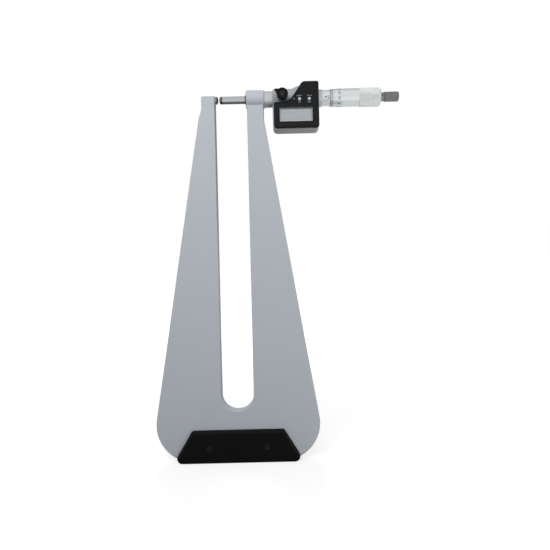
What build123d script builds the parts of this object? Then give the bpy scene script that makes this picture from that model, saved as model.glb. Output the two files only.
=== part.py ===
from build123d import *
import math
import os

# Digital micrometer with a deep throat for sheet metal, upright on its foot.
# The spindle line runs along +X, the display faces -Y, and +Z is up. Sizes are in millimetres.
# The origin is the middle of the foot.
# Pieces of the head are drawn round the spindle line and lifted onto it.

# Frame
THROAT_DEPTH = 300.0
SLOT_WIDTH = 31.0
SLOT_FLOOR = 48.6
SLOT_CORNER = 15.0
PLATE = 12.0
PLATE_EDGE = 1.0
FOOT_WIDTH = 170.0
FOOT_CORNER = 36.0
ARM_STRAIGHT = 19.1
ARM_INSET = 1.1
HORN_WIDTH = 12.9
HORN_RISE = 3.0
HORN_STRAIGHT = 9.4
HORN_BLEND = 9.0
HORN_BLEND_RADIUS = 7.0
HORN_CORNER = 1.5
BOSS_DIAMETER = 17.8
BOSS_LENGTH = 17.8
BOSS_REACH = 0.9
BOSS_EDGE = 0.8
ARM_BLEND_RADIUS = 20.0

# Grips
GRIP_THICKNESS = 5.0
GRIP_HEIGHT = 31.0
GRIP_TOP_WIDTH = 88.0
GRIP_SIDE_LEAN = 31.0
GRIP_CORNER = 5.0
GRIP_TOP_CORNER = 3.0
GRIP_BEVEL = 2.2
GRIP_SCREW_SPACING = 55.0
GRIP_SCREW_HEIGHT = 15.0
GRIP_SCREW_DIAMETER = 3.0
GRIP_SCREW_BITE = 4.5
GRIP_SCREW_HEAD_DIAMETER = 5.6
GRIP_SCREW_HEAD_DEPTH = 1.6
GRIP_SCREW_SINK = 0.3

# How near to a depth a face lies to count as facing there
NEAR = 0.01

# Fits
RUNNING_FIT = 0.05
FREE_GAP = 0.15
KEY_FIT = 0.05

# Measuring faces and travel
MEASURING_RANGE = 25.0
OPENING_AT_REST = 1.5
ANVIL_REACH = 2.8
ANVIL_DEPTH = 9.0
ANVIL_SHANK_DIAMETER = 4.4
ANVIL_TIP_LENGTH = 2.0
SPINDLE_TIP_LENGTH = 3.0
FACE_ROUNDING = 1.7

# Spindle
SPINDLE_DIAMETER = 7.2
THREAD_DIAMETER = 8.2
THREAD_GRIP = 12.0
CONE_LENGTH = 5.6
CONE_END_DIAMETER = 7.0
KEYWAY_WIDTH = 1.2
KEYWAY_DEPTH = 0.9
KEYWAY_RUNOUT = 1.0

# Stem and wiper in the boss
STEM_DIAMETER = 12.0
STEM_SPIGOT = 5.0
NECK_DIAMETER = 15.4
NECK_LENGTH = 7.8
WIPER_POCKET = 3.0
WIPER_LENGTH = 3.6
WIPER_PROUD = 1.0
WIPER_DIAMETER = 8.6

# Head housing
HEAD_LENGTH = 44.0
HEAD_RISE = 12.5
HEAD_DROP = 32.0
HEAD_FRONT = 12.0
HEAD_REAR = 8.5
HEAD_CORNER = 4.0
HEAD_TOP_CORNER = 2.0
HEAD_EDGE = 2.0
BARREL_DIAMETER = 23.8
BARREL_SMALL_DIAMETER = 18.8
BARREL_STRAIGHT = 18.6
BARREL_TAPER = 5.6
BARREL_EDGE = 1.2
CHAMBER_DIAMETER = 15.6
CHAMBER_SETBACK = 17.8
POCKET_FLOOR = 2.6
POCKET_SIDE = 5.4
POCKET_RIGHT_SIDE = 4.4
POCKET_FOOT = 3.0
POCKET_SHOULDER = 2.2
POCKET_CORNER = 1.0
CAVITY_ROOF = 10.5
CAVITY_REAR_WALL = 2.2

# Bezel and display
BEZEL_THICKNESS = 2.0
BEZEL_SETBACK = 1.1
BEZEL_LIP = 0.7
BEZEL_CORNER = 2.6
BEZEL_EDGE = 0.5
SHOULDER_DROP = 6.5
SHOULDER_LENGTH = 14.8
SHOULDER_RADIUS = 12.5
SLOPE_ANGLE = 56.4
SLOPE_TOP_RADIUS = 5.0
WINDOW_WIDTH = 31.8
WINDOW_HEIGHT = 13.8
WINDOW_FROM_LEFT = 5.2
WINDOW_DROP = 11.9
WINDOW_CORNER = 0.8
WINDOW_THICKNESS = 0.8
WINDOW_SETBACK = 0.1
WINDOW_LEDGE = 1.0
LCD_THICKNESS = 1.2
LCD_CORNER = 0.3
CONNECTOR_HEIGHT = 1.5
CONNECTOR_INSET = 2.0
BOARD_THICKNESS = 1.0
BOARD_GAP = 0.2

# Buttons, measured from the bezel's left edge and the spindle line
BUTTON_DIAMETER = 2.9
BUTTON_SINK = 0.3
BUTTON_PROUD = 0.1
BUTTON_TRAVEL = 0.35
BUTTON_FLANGE_DIAMETER = 4.4
BUTTON_FLANGE = 0.35
BUTTON_FROM_LEFT = 24.6
BUTTON_SPACING = 9.3
BUTTON_DROP = 4.2
BUTTON_RIM_DIAMETER = 4.7
BUTTON_RIM_DEPTH = 0.25
SWITCH_SIZE = 4.0
SWITCH_BASE = 0.5
SWITCH_ROOM = 0.6
DOME_DIAMETER = 1.8

# Case screws
CASE_SCREW_DIAMETER = 2.0
CASE_SCREW_HEAD_DIAMETER = 3.6
CASE_SCREW_HEAD = 1.2
CASE_SCREW_SINK = 7.0
CASE_SCREW_BITE = 1.2
CASE_SCREW_FROM_SIDE = 2.6
CASE_SCREW_LOW = 28.2
CASE_SCREW_HIGH = 10.9

# Battery
BATTERY_DIAMETER = 11.6
BATTERY_THICKNESS = 5.4
BATTERY_EDGE = 0.6
BATTERY_FROM_LEFT = 15.8
BATTERY_DROP = 20.6
HOLDER_WALL = 1.0
HOLDER_GAP = 0.2
CONTACT_THICKNESS = 0.3
CONTACT_RISE = 0.5
CAP_NECK_DIAMETER = 14.4
CAP_FLANGE_DIAMETER = 16.8
CAP_FLANGE = 0.9
CAP_SLOT_WIDTH = 1.8
CAP_SLOT_DEPTH = 0.9
CAP_SLOT_LENGTH = 11.0
SEAL_GROOVE = 0.8
SEAL_LENGTH = 0.8

# Spindle lock
LOCK_FROM_HEAD = 9.5
LOCK_BOSS_DIAMETER = 9.4
LOCK_BOSS_FRONT = 14.1
LOCK_SCREW_DIAMETER = 4.8
LOCK_SHOE_DIAMETER = 4.4
LOCK_SHOE_LENGTH = 3.0
LOCK_KNOB_DIAMETER = 10.8
LOCK_KNOB_HEIGHT = 5.0
LOCK_KNOB_EDGE = 0.8
LOCK_NOSE_REACH = 8.3
LOCK_NOSE_RADIUS = 0.9
LOCK_NOSE_ROOT = 4.4
LOCK_NOSE_ANGLE = 150.0
LOCK_DISH_DIAMETER = 6.8
LOCK_DISH_DEPTH = 0.6

# Encoder round the spindle
ROTOR_SPRING_LENGTH = 1.2
ROTOR_SPRING_THICKNESS = 0.3
HUB_FLANGE_DIAMETER = 12.8
HUB_FLANGE = 1.2
HUB_DIAMETER = 9.8
HUB_LENGTH = 2.8
ROTOR_CLEARANCE = 0.3
ROTOR_THICKNESS = 1.0
ENCODER_GAP = 0.5
STATOR_THICKNESS = 1.0
STATOR_BORE_DIAMETER = 10.8
SPACER_LENGTH = 7.0
SPACER_WALL = 1.2

# Nut and sleeves
NUT_FLANGE = 4.0
INNER_SLEEVE_DIAMETER = 12.0
INNER_SLEEVE_GAP = 0.3
NUT_THREAD_LENGTH = 21.0
NUT_SLOT_WIDTH = 0.8
NUT_SLOT_COUNT = 3
NUT_SLOT_LENGTH = 9.0
ADJUSTING_NUT_DIAMETER = 13.6
ADJUSTING_NUT_LENGTH = 6.0
ADJUSTING_NUT_GAP = 0.5
ADJUSTING_NOTCH_WIDTH = 1.6
ADJUSTING_NOTCH_DEPTH = 0.9
COLLAR_DIAMETER = 16.4
COLLAR_LENGTH = 3.8
COLLAR_EDGE = 0.4
SLEEVE_DIAMETER = 15.0
SLEEVE_SHOWN = 7.5
SLEEVE_SPARE = 1.65

# Thimble
THIMBLE_DIAMETER = 17.0
THIMBLE_EDGE_DIAMETER = 15.9
THIMBLE_BEVEL = 8.0
THIMBLE_NUT_ROOM = 7.35
THIMBLE_REAR_WALL = 8.6
THIMBLE_REAR_EDGE = 1.6
GRIP_BAND_LENGTH = 21.0
GRIP_BAND_DIAMETER = 17.8
FLUTE_COUNT = 60
FLUTE_DEPTH = 0.35

# Ratchet
BASE_DIAMETER = 8.4
BASE_LENGTH = 3.4
BASE_STUD_DIAMETER = 3.2
BASE_STUD_LENGTH = 9.0
SPANNER_HOLE_DIAMETER = 1.0
SPANNER_HOLE_DEPTH = 1.2
TOOTH_COUNT = 12
TOOTH_HEIGHT = 0.6
TOOTH_OUTER_DIAMETER = 6.8
TOOTH_INNER_DIAMETER = 4.2
CLUTCH_THICKNESS = 1.3
EAR_WIDTH = 1.4
EAR_REACH = 0.35
SPRING_COUNT = 4
SPRING_PITCH = 1.08
SPRING_THICKNESS = 0.25
KNOB_DIAMETER = 9.5
KNOB_LENGTH = 14.2
KNOB_CAVITY_DIAMETER = 7.4
KNOB_WALL = 3.0
KNOB_CHAMFER = 0.7
KNOB_FLUTE_COUNT = 36
KNOB_FLUTE_DEPTH = 0.25
JOURNAL_DIAMETER = 3.8
RATCHET_SCREW_DIAMETER = 2.4
RATCHET_SCREW_BITE = 3.0
RATCHET_SCREW_HEAD_DIAMETER = 5.6
RATCHET_SCREW_HEAD = 1.4
DRIVER_SLOT_WIDTH = 0.6
DRIVER_SLOT_DEPTH = 0.5
PLUG_DIAMETER = 6.2
PLUG_THICKNESS = 1.2
PLUG_SETBACK = 0.2

# Places along the spindle line
AXIS_HEIGHT = SLOT_FLOOR + THROAT_DEPTH
TRAVEL_OUT = MEASURING_RANGE - OPENING_AT_REST
BOSS_LEFT = SLOT_WIDTH / 2 - BOSS_REACH
BOSS_RIGHT = BOSS_LEFT + BOSS_LENGTH
ARM_RIGHT = BOSS_RIGHT - ARM_INSET
HEAD_LEFT = BOSS_RIGHT + NECK_LENGTH
HEAD_RIGHT = HEAD_LEFT + HEAD_LENGTH
BEZEL_LEFT = HEAD_LEFT + BEZEL_SETBACK
ANVIL_FACE = ANVIL_REACH - SLOT_WIDTH / 2
SPINDLE_FACE = ANVIL_FACE + OPENING_AT_REST
COLLAR_RIGHT = HEAD_RIGHT + COLLAR_LENGTH
THIMBLE_LEFT = COLLAR_RIGHT + SLEEVE_SHOWN
SLEEVE_RIGHT = THIMBLE_LEFT + TRAVEL_OUT + SLEEVE_SPARE
NUT_RIGHT = SLEEVE_RIGHT + ADJUSTING_NUT_GAP + ADJUSTING_NUT_LENGTH
THIMBLE_ROOM_RIGHT = NUT_RIGHT + OPENING_AT_REST + THIMBLE_NUT_ROOM
THIMBLE_RIGHT = THIMBLE_ROOM_RIGHT + THIMBLE_REAR_WALL
THREAD_LEFT = NUT_RIGHT - TRAVEL_OUT - THREAD_GRIP
CONE_RIGHT = THIMBLE_ROOM_RIGHT + CONE_LENGTH
CHAMBER_LEFT = HEAD_LEFT + CHAMBER_SETBACK
HUB_LEFT = CHAMBER_LEFT + ROTOR_SPRING_LENGTH + RUNNING_FIT
ROTOR_LEFT = HUB_LEFT + HUB_FLANGE
KEY_LEFT = ROTOR_LEFT + ROTOR_THICKNESS + KEY_FIT
HUB_RIGHT = ROTOR_LEFT + HUB_LENGTH
STATOR_LEFT = ROTOR_LEFT + ROTOR_THICKNESS + ENCODER_GAP
SPACER_LEFT = STATOR_LEFT + STATOR_THICKNESS
NUT_FLANGE_LEFT = SPACER_LEFT + SPACER_LENGTH
NUT_FLANGE_RIGHT = NUT_FLANGE_LEFT + NUT_FLANGE
BASE_RIGHT = THIMBLE_RIGHT + BASE_LENGTH
TOOTH_TOP = BASE_RIGHT + TOOTH_HEIGHT
CLUTCH_RIGHT = TOOTH_TOP + RUNNING_FIT + TOOTH_HEIGHT + CLUTCH_THICKNESS
CAVITY_RIGHT = CLUTCH_RIGHT + SPRING_COUNT * SPRING_PITCH
KNOB_LEFT = BASE_RIGHT + RUNNING_FIT
KNOB_RIGHT = KNOB_LEFT + KNOB_LENGTH
LOCK_X = HEAD_LEFT + LOCK_FROM_HEAD

# Depths behind and before the spindle line, front faces first
BEZEL_FRONT = -(HEAD_FRONT + BEZEL_THICKNESS)
WINDOW_BACK = BEZEL_FRONT + WINDOW_SETBACK + WINDOW_THICKNESS
POCKET_BACK = -HEAD_FRONT + POCKET_FLOOR
BOARD_BACK = POCKET_BACK
BOARD_FRONT = BOARD_BACK - BOARD_THICKNESS
LCD_FRONT = -HEAD_FRONT
GRIP_FACE = PLATE / 2 + GRIP_THICKNESS
BATTERY_X = HEAD_LEFT + BATTERY_FROM_LEFT
BATTERY_Z = -BATTERY_DROP
WINDOW_X = BEZEL_LEFT + WINDOW_FROM_LEFT + WINDOW_WIDTH / 2
WINDOW_Z = -WINDOW_DROP - WINDOW_HEIGHT / 2
BUTTON_Z = -BUTTON_DROP
SET_BUTTON_X = BEZEL_LEFT + BUTTON_FROM_LEFT
MODE_BUTTON_X = SET_BUTTON_X + BUTTON_SPACING


def turned(*points):
    """Solid of revolution round the spindle line from (x, radius) points."""
    return revolve(Plane.XZ * make_face(Polyline(*points, close=True)), Axis.X)


def ring(left, right, outer, inner=0.0):
    """Ring or bar round the spindle line, given by its two diameters."""
    return turned((left, inner / 2), (left, outer / 2), (right, outer / 2), (right, inner / 2))


def post(x, z, front, back, diameter):
    """Round bar along Y."""
    return Pos(x, (front + back) / 2, z) * Rot(90, 0, 0) * Cylinder(diameter / 2, back - front)


def slab(face, front, back):
    """Flat outline in x and z, given thickness along Y."""
    return extrude(Plane.XZ.offset(-back) * face, amount=back - front)


def outline(*corners):
    """Flat outline from (x, z, corner radius) corners."""
    points = [(x, z) for x, z, radius in corners]
    return make_face(FilletPolyline(*points, radius=[radius for x, z, radius in corners], close=True))


def panel(left, right, low, high, corner):
    """Flat rectangle with rounded corners."""
    middle = Pos((left + right) / 2, (low + high) / 2)
    return middle * RectangleRounded(right - left, high - low, corner)


def edges_facing(part, y):
    """Edges of the flat face at depth y."""
    return part.faces().filter_by(Axis.Y).filter_by_position(Axis.Y, y - NEAR, y + NEAR).edges()


def fluted(left, right, diameter, count, depth):
    """Straight-knurled bar round the spindle line."""
    step = math.pi / count
    radii = (diameter / 2, diameter / 2 - depth)
    points = [
        (radii[i % 2] * math.cos(i * step), radii[i % 2] * math.sin(i * step)) for i in range(2 * count)
    ]
    return extrude(Plane.YZ.offset(left) * make_face(Polyline(*points, close=True)), amount=right - left)


def side_at(z):
    """Half width of the frame at height z, on the line from the foot to where the right arm turns upright."""
    return FOOT_WIDTH / 2 - z * (FOOT_WIDTH / 2 - ARM_RIGHT) / (AXIS_HEIGHT - ARM_STRAIGHT)


def frame():
    """Deep-throat plate with its slot, horn and boss, bored for the anvil, the stem and the grip screws."""
    horn_out = SLOT_WIDTH / 2 + HORN_WIDTH
    horn_top = AXIS_HEIGHT + HORN_RISE
    straight_end = AXIS_HEIGHT - HORN_STRAIGHT
    blend_end = straight_end - HORN_BLEND
    body = outline(
        (-FOOT_WIDTH / 2, 0, FOOT_CORNER),
        (FOOT_WIDTH / 2, 0, FOOT_CORNER),
        (ARM_RIGHT, AXIS_HEIGHT - ARM_STRAIGHT, ARM_BLEND_RADIUS),
        (ARM_RIGHT, AXIS_HEIGHT, 0),
        (0, AXIS_HEIGHT, 0),
        (0, horn_top, 0),
        (-horn_out, horn_top, HORN_CORNER),
        (-horn_out, straight_end, HORN_BLEND_RADIUS),
        (-side_at(blend_end), blend_end, HORN_BLEND_RADIUS),
    )
    slot = outline(
        (-SLOT_WIDTH / 2, SLOT_FLOOR, SLOT_CORNER),
        (SLOT_WIDTH / 2, SLOT_FLOOR, SLOT_CORNER),
        (SLOT_WIDTH / 2, horn_top + PLATE, 0),
        (-SLOT_WIDTH / 2, horn_top + PLATE, 0),
    )
    plate = slab(body - slot, -PLATE / 2, PLATE / 2)
    plate = fillet(edges_facing(plate, -PLATE / 2) + edges_facing(plate, PLATE / 2), PLATE_EDGE)
    boss = chamfer(ring(BOSS_LEFT, BOSS_RIGHT, BOSS_DIAMETER).edges().filter_by(GeomType.CIRCLE), BOSS_EDGE)
    plate += on_line(boss)
    plate -= on_line(ring(BOSS_LEFT + WIPER_POCKET, BOSS_RIGHT, STEM_DIAMETER))
    plate -= on_line(ring(BOSS_LEFT, BOSS_LEFT + WIPER_POCKET, WIPER_DIAMETER))
    plate -= on_line(ring(-SLOT_WIDTH / 2 - ANVIL_DEPTH, 0, ANVIL_SHANK_DIAMETER))
    for x in grip_screw_places():
        plate -= post(x, GRIP_SCREW_HEIGHT, -PLATE / 2, PLATE / 2, GRIP_SCREW_DIAMETER)
    return plate


def on_line(part):
    """Part drawn round X, lifted onto the spindle line."""
    return Pos(0, 0, AXIS_HEIGHT) * part


def grip_screw_places():
    """Places of the grip screws across the foot."""
    return (-GRIP_SCREW_SPACING / 2, GRIP_SCREW_SPACING / 2)


def grip_screw_form(x):
    """Plain form of a countersunk grip screw, which is also the room for it."""
    front = -GRIP_FACE + GRIP_SCREW_SINK
    shank_radius = GRIP_SCREW_DIAMETER / 2
    head_radius = GRIP_SCREW_HEAD_DIAMETER / 2
    back = -PLATE / 2 + GRIP_SCREW_BITE
    profile = Polyline(
        (0, front),
        (head_radius, front),
        (shank_radius, front + GRIP_SCREW_HEAD_DEPTH),
        (shank_radius, back),
        (0, back),
        close=True,
    )
    return Pos(x, 0, GRIP_SCREW_HEIGHT) * revolve(make_face(profile), Axis.Y)


def grip_screw(x):
    """Grip screw with its cross recess."""
    bar = Box(GRIP_SCREW_DIAMETER, DRIVER_SLOT_DEPTH * 2, DRIVER_SLOT_WIDTH)
    cross = Pos(x, -GRIP_FACE + GRIP_SCREW_SINK, GRIP_SCREW_HEIGHT) * (bar + Rot(0, 90, 0) * bar)
    return grip_screw_form(x) - cross


def front_grip():
    """Heat-insulating pad on the front of the foot."""
    foot_half = GRIP_TOP_WIDTH / 2 + GRIP_HEIGHT * math.tan(math.radians(GRIP_SIDE_LEAN))
    face = outline(
        (-foot_half, 0, GRIP_CORNER),
        (foot_half, 0, GRIP_CORNER),
        (GRIP_TOP_WIDTH / 2, GRIP_HEIGHT, GRIP_TOP_CORNER),
        (-GRIP_TOP_WIDTH / 2, GRIP_HEIGHT, GRIP_TOP_CORNER),
    )
    pad = slab(face, -GRIP_FACE, -PLATE / 2)
    pad = chamfer(edges_facing(pad, -GRIP_FACE), GRIP_BEVEL)
    for x in grip_screw_places():
        pad -= post(x, GRIP_SCREW_HEIGHT, -GRIP_FACE, -PLATE / 2, GRIP_SCREW_DIAMETER)
        pad -= grip_screw_form(x)
        pad -= post(x, GRIP_SCREW_HEIGHT, -GRIP_FACE, -GRIP_FACE + GRIP_SCREW_SINK, GRIP_SCREW_HEAD_DIAMETER)
    return pad


def front_grip_screws():
    """Pair of screws that hold the front grip."""
    return [grip_screw(x) for x in grip_screw_places()]


def rear_grip():
    """The same pad on the rear of the foot."""
    return mirror(front_grip(), Plane.XZ)


def rear_grip_screws():
    """Pair of screws that hold the rear grip."""
    return [mirror(screw, Plane.XZ) for screw in front_grip_screws()]


def anvil():
    """Fixed measuring stud, whose shank is pressed into the horn up to its shoulder."""
    shoulder = -SLOT_WIDTH / 2
    shank = ring(shoulder - ANVIL_DEPTH, shoulder, ANVIL_SHANK_DIAMETER)
    return on_line(shank + ring(shoulder, ANVIL_FACE - ANVIL_TIP_LENGTH, SPINDLE_DIAMETER))


def measuring_tip(face, back):
    """Hard-metal disc, rounded off round its measuring face."""
    disc = ring(min(face, back), max(face, back), SPINDLE_DIAMETER)
    rim = disc.edges().filter_by(GeomType.CIRCLE).filter_by_position(Axis.X, face - NEAR, face + NEAR)
    return fillet(rim, FACE_ROUNDING)


def anvil_tip():
    """Hard-metal face of the anvil."""
    return on_line(measuring_tip(ANVIL_FACE, ANVIL_FACE - ANVIL_TIP_LENGTH))


def spindle_tip():
    """Hard-metal face of the spindle."""
    return on_line(measuring_tip(SPINDLE_FACE, SPINDLE_FACE + SPINDLE_TIP_LENGTH))


def spindle_wiper():
    """Wiper ring that stands proud of the mouth of the boss."""
    left = BOSS_LEFT - WIPER_PROUD
    return on_line(ring(left, left + WIPER_LENGTH, WIPER_DIAMETER, SPINDLE_DIAMETER + 2 * RUNNING_FIT))


def head_stem():
    """Steel bush through the boss with the neck that carries the head."""
    left = BOSS_LEFT + WIPER_POCKET
    bore = SPINDLE_DIAMETER / 2 + RUNNING_FIT
    return on_line(
        turned(
            (left, bore),
            (left, STEM_DIAMETER / 2),
            (BOSS_RIGHT, STEM_DIAMETER / 2),
            (BOSS_RIGHT, NECK_DIAMETER / 2),
            (HEAD_LEFT, NECK_DIAMETER / 2),
            (HEAD_LEFT, STEM_DIAMETER / 2),
            (HEAD_LEFT + STEM_SPIGOT, STEM_DIAMETER / 2),
            (HEAD_LEFT + STEM_SPIGOT, bore),
        )
    )


def front_outline(left, low, corner):
    """Outline of the display head with its shoulder and slope, seen from the front."""
    slope_foot = BEZEL_LEFT + SHOULDER_LENGTH
    slope_top = slope_foot + (HEAD_RISE + SHOULDER_DROP) / math.tan(math.radians(SLOPE_ANGLE))
    return outline(
        (left, low, corner),
        (HEAD_RIGHT, low, corner),
        (HEAD_RIGHT, HEAD_RISE, HEAD_TOP_CORNER),
        (slope_top, HEAD_RISE, SLOPE_TOP_RADIUS),
        (slope_foot, -SHOULDER_DROP, SHOULDER_RADIUS),
        (left, -SHOULDER_DROP, corner),
    )


def pocket_outline():
    """Room for the board and the display, open to the bezel."""
    left = HEAD_LEFT + POCKET_SIDE
    right = HEAD_RIGHT - POCKET_RIGHT_SIDE
    button_left = SET_BUTTON_X - SWITCH_SIZE / 2 - SWITCH_ROOM
    button_top = BUTTON_Z + SWITCH_SIZE / 2 + SWITCH_ROOM
    shoulder = -SHOULDER_DROP - POCKET_SHOULDER
    return outline(
        (left, -HEAD_DROP + POCKET_FOOT, POCKET_CORNER),
        (right, -HEAD_DROP + POCKET_FOOT, POCKET_CORNER),
        (right, button_top, POCKET_CORNER),
        (button_left, button_top, POCKET_CORNER),
        (button_left, shoulder, POCKET_CORNER),
        (left, shoulder, POCKET_CORNER),
    )


def case_screw_places():
    """Places of the screws that hold the bezel."""
    columns = (HEAD_LEFT + CASE_SCREW_FROM_SIDE, HEAD_RIGHT - CASE_SCREW_FROM_SIDE)
    return [(x, -drop) for x in columns for drop in (CASE_SCREW_LOW, CASE_SCREW_HIGH)]


def head_housing():
    """Metal body of the head: a stepped barrel round the spindle over a box for the display."""
    small = BARREL_SMALL_DIAMETER / 2
    large = BARREL_DIAMETER / 2
    taper_start = HEAD_LEFT + BARREL_STRAIGHT
    taper_end = taper_start + BARREL_TAPER
    barrel = turned(
        (HEAD_LEFT, 0),
        (HEAD_LEFT, small - BARREL_EDGE),
        (HEAD_LEFT + BARREL_EDGE, small),
        (taper_start, small),
        (taper_end, large),
        (HEAD_RIGHT - BARREL_EDGE, large),
        (HEAD_RIGHT, large - BARREL_EDGE),
        (HEAD_RIGHT, 0),
    )
    box = slab(panel(HEAD_LEFT, HEAD_RIGHT, -HEAD_DROP, 0, HEAD_CORNER), 0, HEAD_REAR)
    box = fillet(edges_facing(box, HEAD_REAR), HEAD_EDGE)
    body = barrel + box + slab(front_outline(HEAD_LEFT, -HEAD_DROP, HEAD_CORNER), -HEAD_FRONT, 0)
    body += post(LOCK_X, 0, -LOCK_BOSS_FRONT, 0, LOCK_BOSS_DIAMETER)
    body -= ring(HEAD_LEFT, HEAD_LEFT + STEM_SPIGOT, STEM_DIAMETER)
    body -= ring(HEAD_LEFT, CHAMBER_LEFT, SPINDLE_DIAMETER + 2 * INNER_SLEEVE_GAP)
    body -= ring(CHAMBER_LEFT, HEAD_RIGHT, CHAMBER_DIAMETER)
    body -= post(LOCK_X, 0, -LOCK_BOSS_FRONT, 0, LOCK_SCREW_DIAMETER + 2 * RUNNING_FIT)
    body -= slab(pocket_outline(), -HEAD_FRONT, POCKET_BACK)
    cavity = panel(
        HEAD_LEFT + POCKET_SIDE,
        HEAD_RIGHT - POCKET_RIGHT_SIDE,
        -HEAD_DROP + POCKET_FOOT,
        -CAVITY_ROOF,
        POCKET_CORNER,
    )
    body -= slab(cavity, POCKET_BACK, HEAD_REAR - CAVITY_REAR_WALL)
    body -= post(BATTERY_X, BATTERY_Z, 0, HEAD_REAR, CAP_NECK_DIAMETER + 2 * RUNNING_FIT)
    for x, z in case_screw_places():
        body -= post(x, z, -HEAD_FRONT, HEAD_REAR, CASE_SCREW_DIAMETER)
        body -= post(x, z, HEAD_REAR - CASE_SCREW_SINK, HEAD_REAR, CASE_SCREW_HEAD_DIAMETER)
    return on_line(body)


def case_screws():
    """Screws from the rear of the housing into the bezel."""
    screws = []
    for x, z in case_screw_places():
        seat = HEAD_REAR - CASE_SCREW_SINK
        screw = post(x, z, -HEAD_FRONT - CASE_SCREW_BITE, seat, CASE_SCREW_DIAMETER)
        screw += post(x, z, seat, seat + CASE_SCREW_HEAD, CASE_SCREW_HEAD_DIAMETER)
        slot = Box(CASE_SCREW_HEAD_DIAMETER, DRIVER_SLOT_DEPTH * 2, DRIVER_SLOT_WIDTH)
        screw -= Pos(x, seat + CASE_SCREW_HEAD, z) * slot
        screws.append(on_line(screw))
    return screws


def window_edges():
    """Left, right, low and high edges of the window."""
    left = WINDOW_X - WINDOW_WIDTH / 2
    low = WINDOW_Z - WINDOW_HEIGHT / 2
    return left, left + WINDOW_WIDTH, low, low + WINDOW_HEIGHT


def button_places():
    """Places of the two buttons."""
    return [(SET_BUTTON_X, BUTTON_Z), (MODE_BUTTON_X, BUTTON_Z)]


def front_bezel():
    """Cover round the display with a stepped window and two button holes."""
    cover = slab(front_outline(BEZEL_LEFT, -HEAD_DROP + BEZEL_LIP, BEZEL_CORNER), BEZEL_FRONT, -HEAD_FRONT)
    cover = chamfer(edges_facing(cover, BEZEL_FRONT), BEZEL_EDGE)
    left, right, low, high = window_edges()
    cover -= slab(panel(left, right, low, high, WINDOW_CORNER), BEZEL_FRONT, WINDOW_BACK)
    ledge = WINDOW_LEDGE
    opening = panel(left + ledge, right - ledge, low + ledge, high - ledge, WINDOW_CORNER)
    cover -= slab(opening, BEZEL_FRONT, -HEAD_FRONT)
    for x, z in button_places():
        cover -= post(x, z, BEZEL_FRONT, -HEAD_FRONT, BUTTON_DIAMETER + 2 * RUNNING_FIT)
        cover -= post(x, z, BEZEL_FRONT, BEZEL_FRONT + BUTTON_RIM_DEPTH, BUTTON_RIM_DIAMETER)
    for x, z in case_screw_places():
        cover -= post(x, z, -HEAD_FRONT - CASE_SCREW_BITE, -HEAD_FRONT, CASE_SCREW_DIAMETER)
    return on_line(cover)


def lcd_window():
    """Clear window in the bezel's step."""
    front = BEZEL_FRONT + WINDOW_SETBACK
    return on_line(slab(panel(*window_edges(), WINDOW_CORNER), front, WINDOW_BACK))


def lcd_panel():
    """Display glass behind the window."""
    left, right, low, high = window_edges()
    return on_line(slab(panel(left, right, low, high, LCD_CORNER), LCD_FRONT, LCD_FRONT + LCD_THICKNESS))


def lcd_connector():
    """Contact strip between the display and the board."""
    left, right, low, high = window_edges()
    inset = CONNECTOR_INSET
    strip = panel(left + inset, right - inset, low, low + CONNECTOR_HEIGHT, LCD_CORNER)
    return on_line(slab(strip, LCD_FRONT + LCD_THICKNESS, BOARD_FRONT))


def circuit_board():
    """Board that fills the pocket."""
    board = slab(offset(pocket_outline(), -BOARD_GAP), BOARD_FRONT, BOARD_BACK)
    return on_line(board)


def button_switches():
    """Two dome switches on the board."""
    switches = []
    for x, z in button_places():
        base = slab(Pos(x, z) * Rectangle(SWITCH_SIZE, SWITCH_SIZE), BOARD_FRONT - SWITCH_BASE, BOARD_FRONT)
        dome = post(x, z, dome_front(), BOARD_FRONT - SWITCH_BASE, DOME_DIAMETER)
        switches.append(on_line(base + dome))
    return switches


def dome_front():
    """Front of a dome switch, which a pressed button just meets."""
    return -HEAD_FRONT + BUTTON_FLANGE + BUTTON_TRAVEL


def button(x, z):
    """Button cap with a flange behind the bezel."""
    cap = post(x, z, BEZEL_FRONT - BUTTON_PROUD, -HEAD_FRONT, BUTTON_DIAMETER)
    cap = chamfer(edges_facing(cap, BEZEL_FRONT - BUTTON_PROUD), BUTTON_SINK)
    return on_line(cap + post(x, z, -HEAD_FRONT, -HEAD_FRONT + BUTTON_FLANGE, BUTTON_FLANGE_DIAMETER))


def set_button():
    """Left button."""
    return button(SET_BUTTON_X, BUTTON_Z)


def mode_button():
    """Right button."""
    return button(MODE_BUTTON_X, BUTTON_Z)


def battery_front():
    """Depth of the battery's front face."""
    return HEAD_REAR - CAVITY_REAR_WALL - BATTERY_THICKNESS


def battery():
    """Coin cell."""
    front = battery_front()
    cell = post(BATTERY_X, BATTERY_Z, front, front + BATTERY_THICKNESS, BATTERY_DIAMETER)
    return on_line(chamfer(edges_facing(cell, front), BATTERY_EDGE))


def battery_holder():
    """Cup on the board that holds the cell."""
    bore = BATTERY_DIAMETER + 2 * HOLDER_GAP
    back = HEAD_REAR - CAVITY_REAR_WALL
    floor_back = battery_front() - CONTACT_RISE - CONTACT_THICKNESS
    cup = post(BATTERY_X, BATTERY_Z, BOARD_BACK, back, bore + 2 * HOLDER_WALL)
    cup -= post(BATTERY_X, BATTERY_Z, floor_back, back, bore)
    cup -= post(BATTERY_X, BATTERY_Z, BOARD_BACK, floor_back - HOLDER_WALL, bore)
    return on_line(cup)


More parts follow.
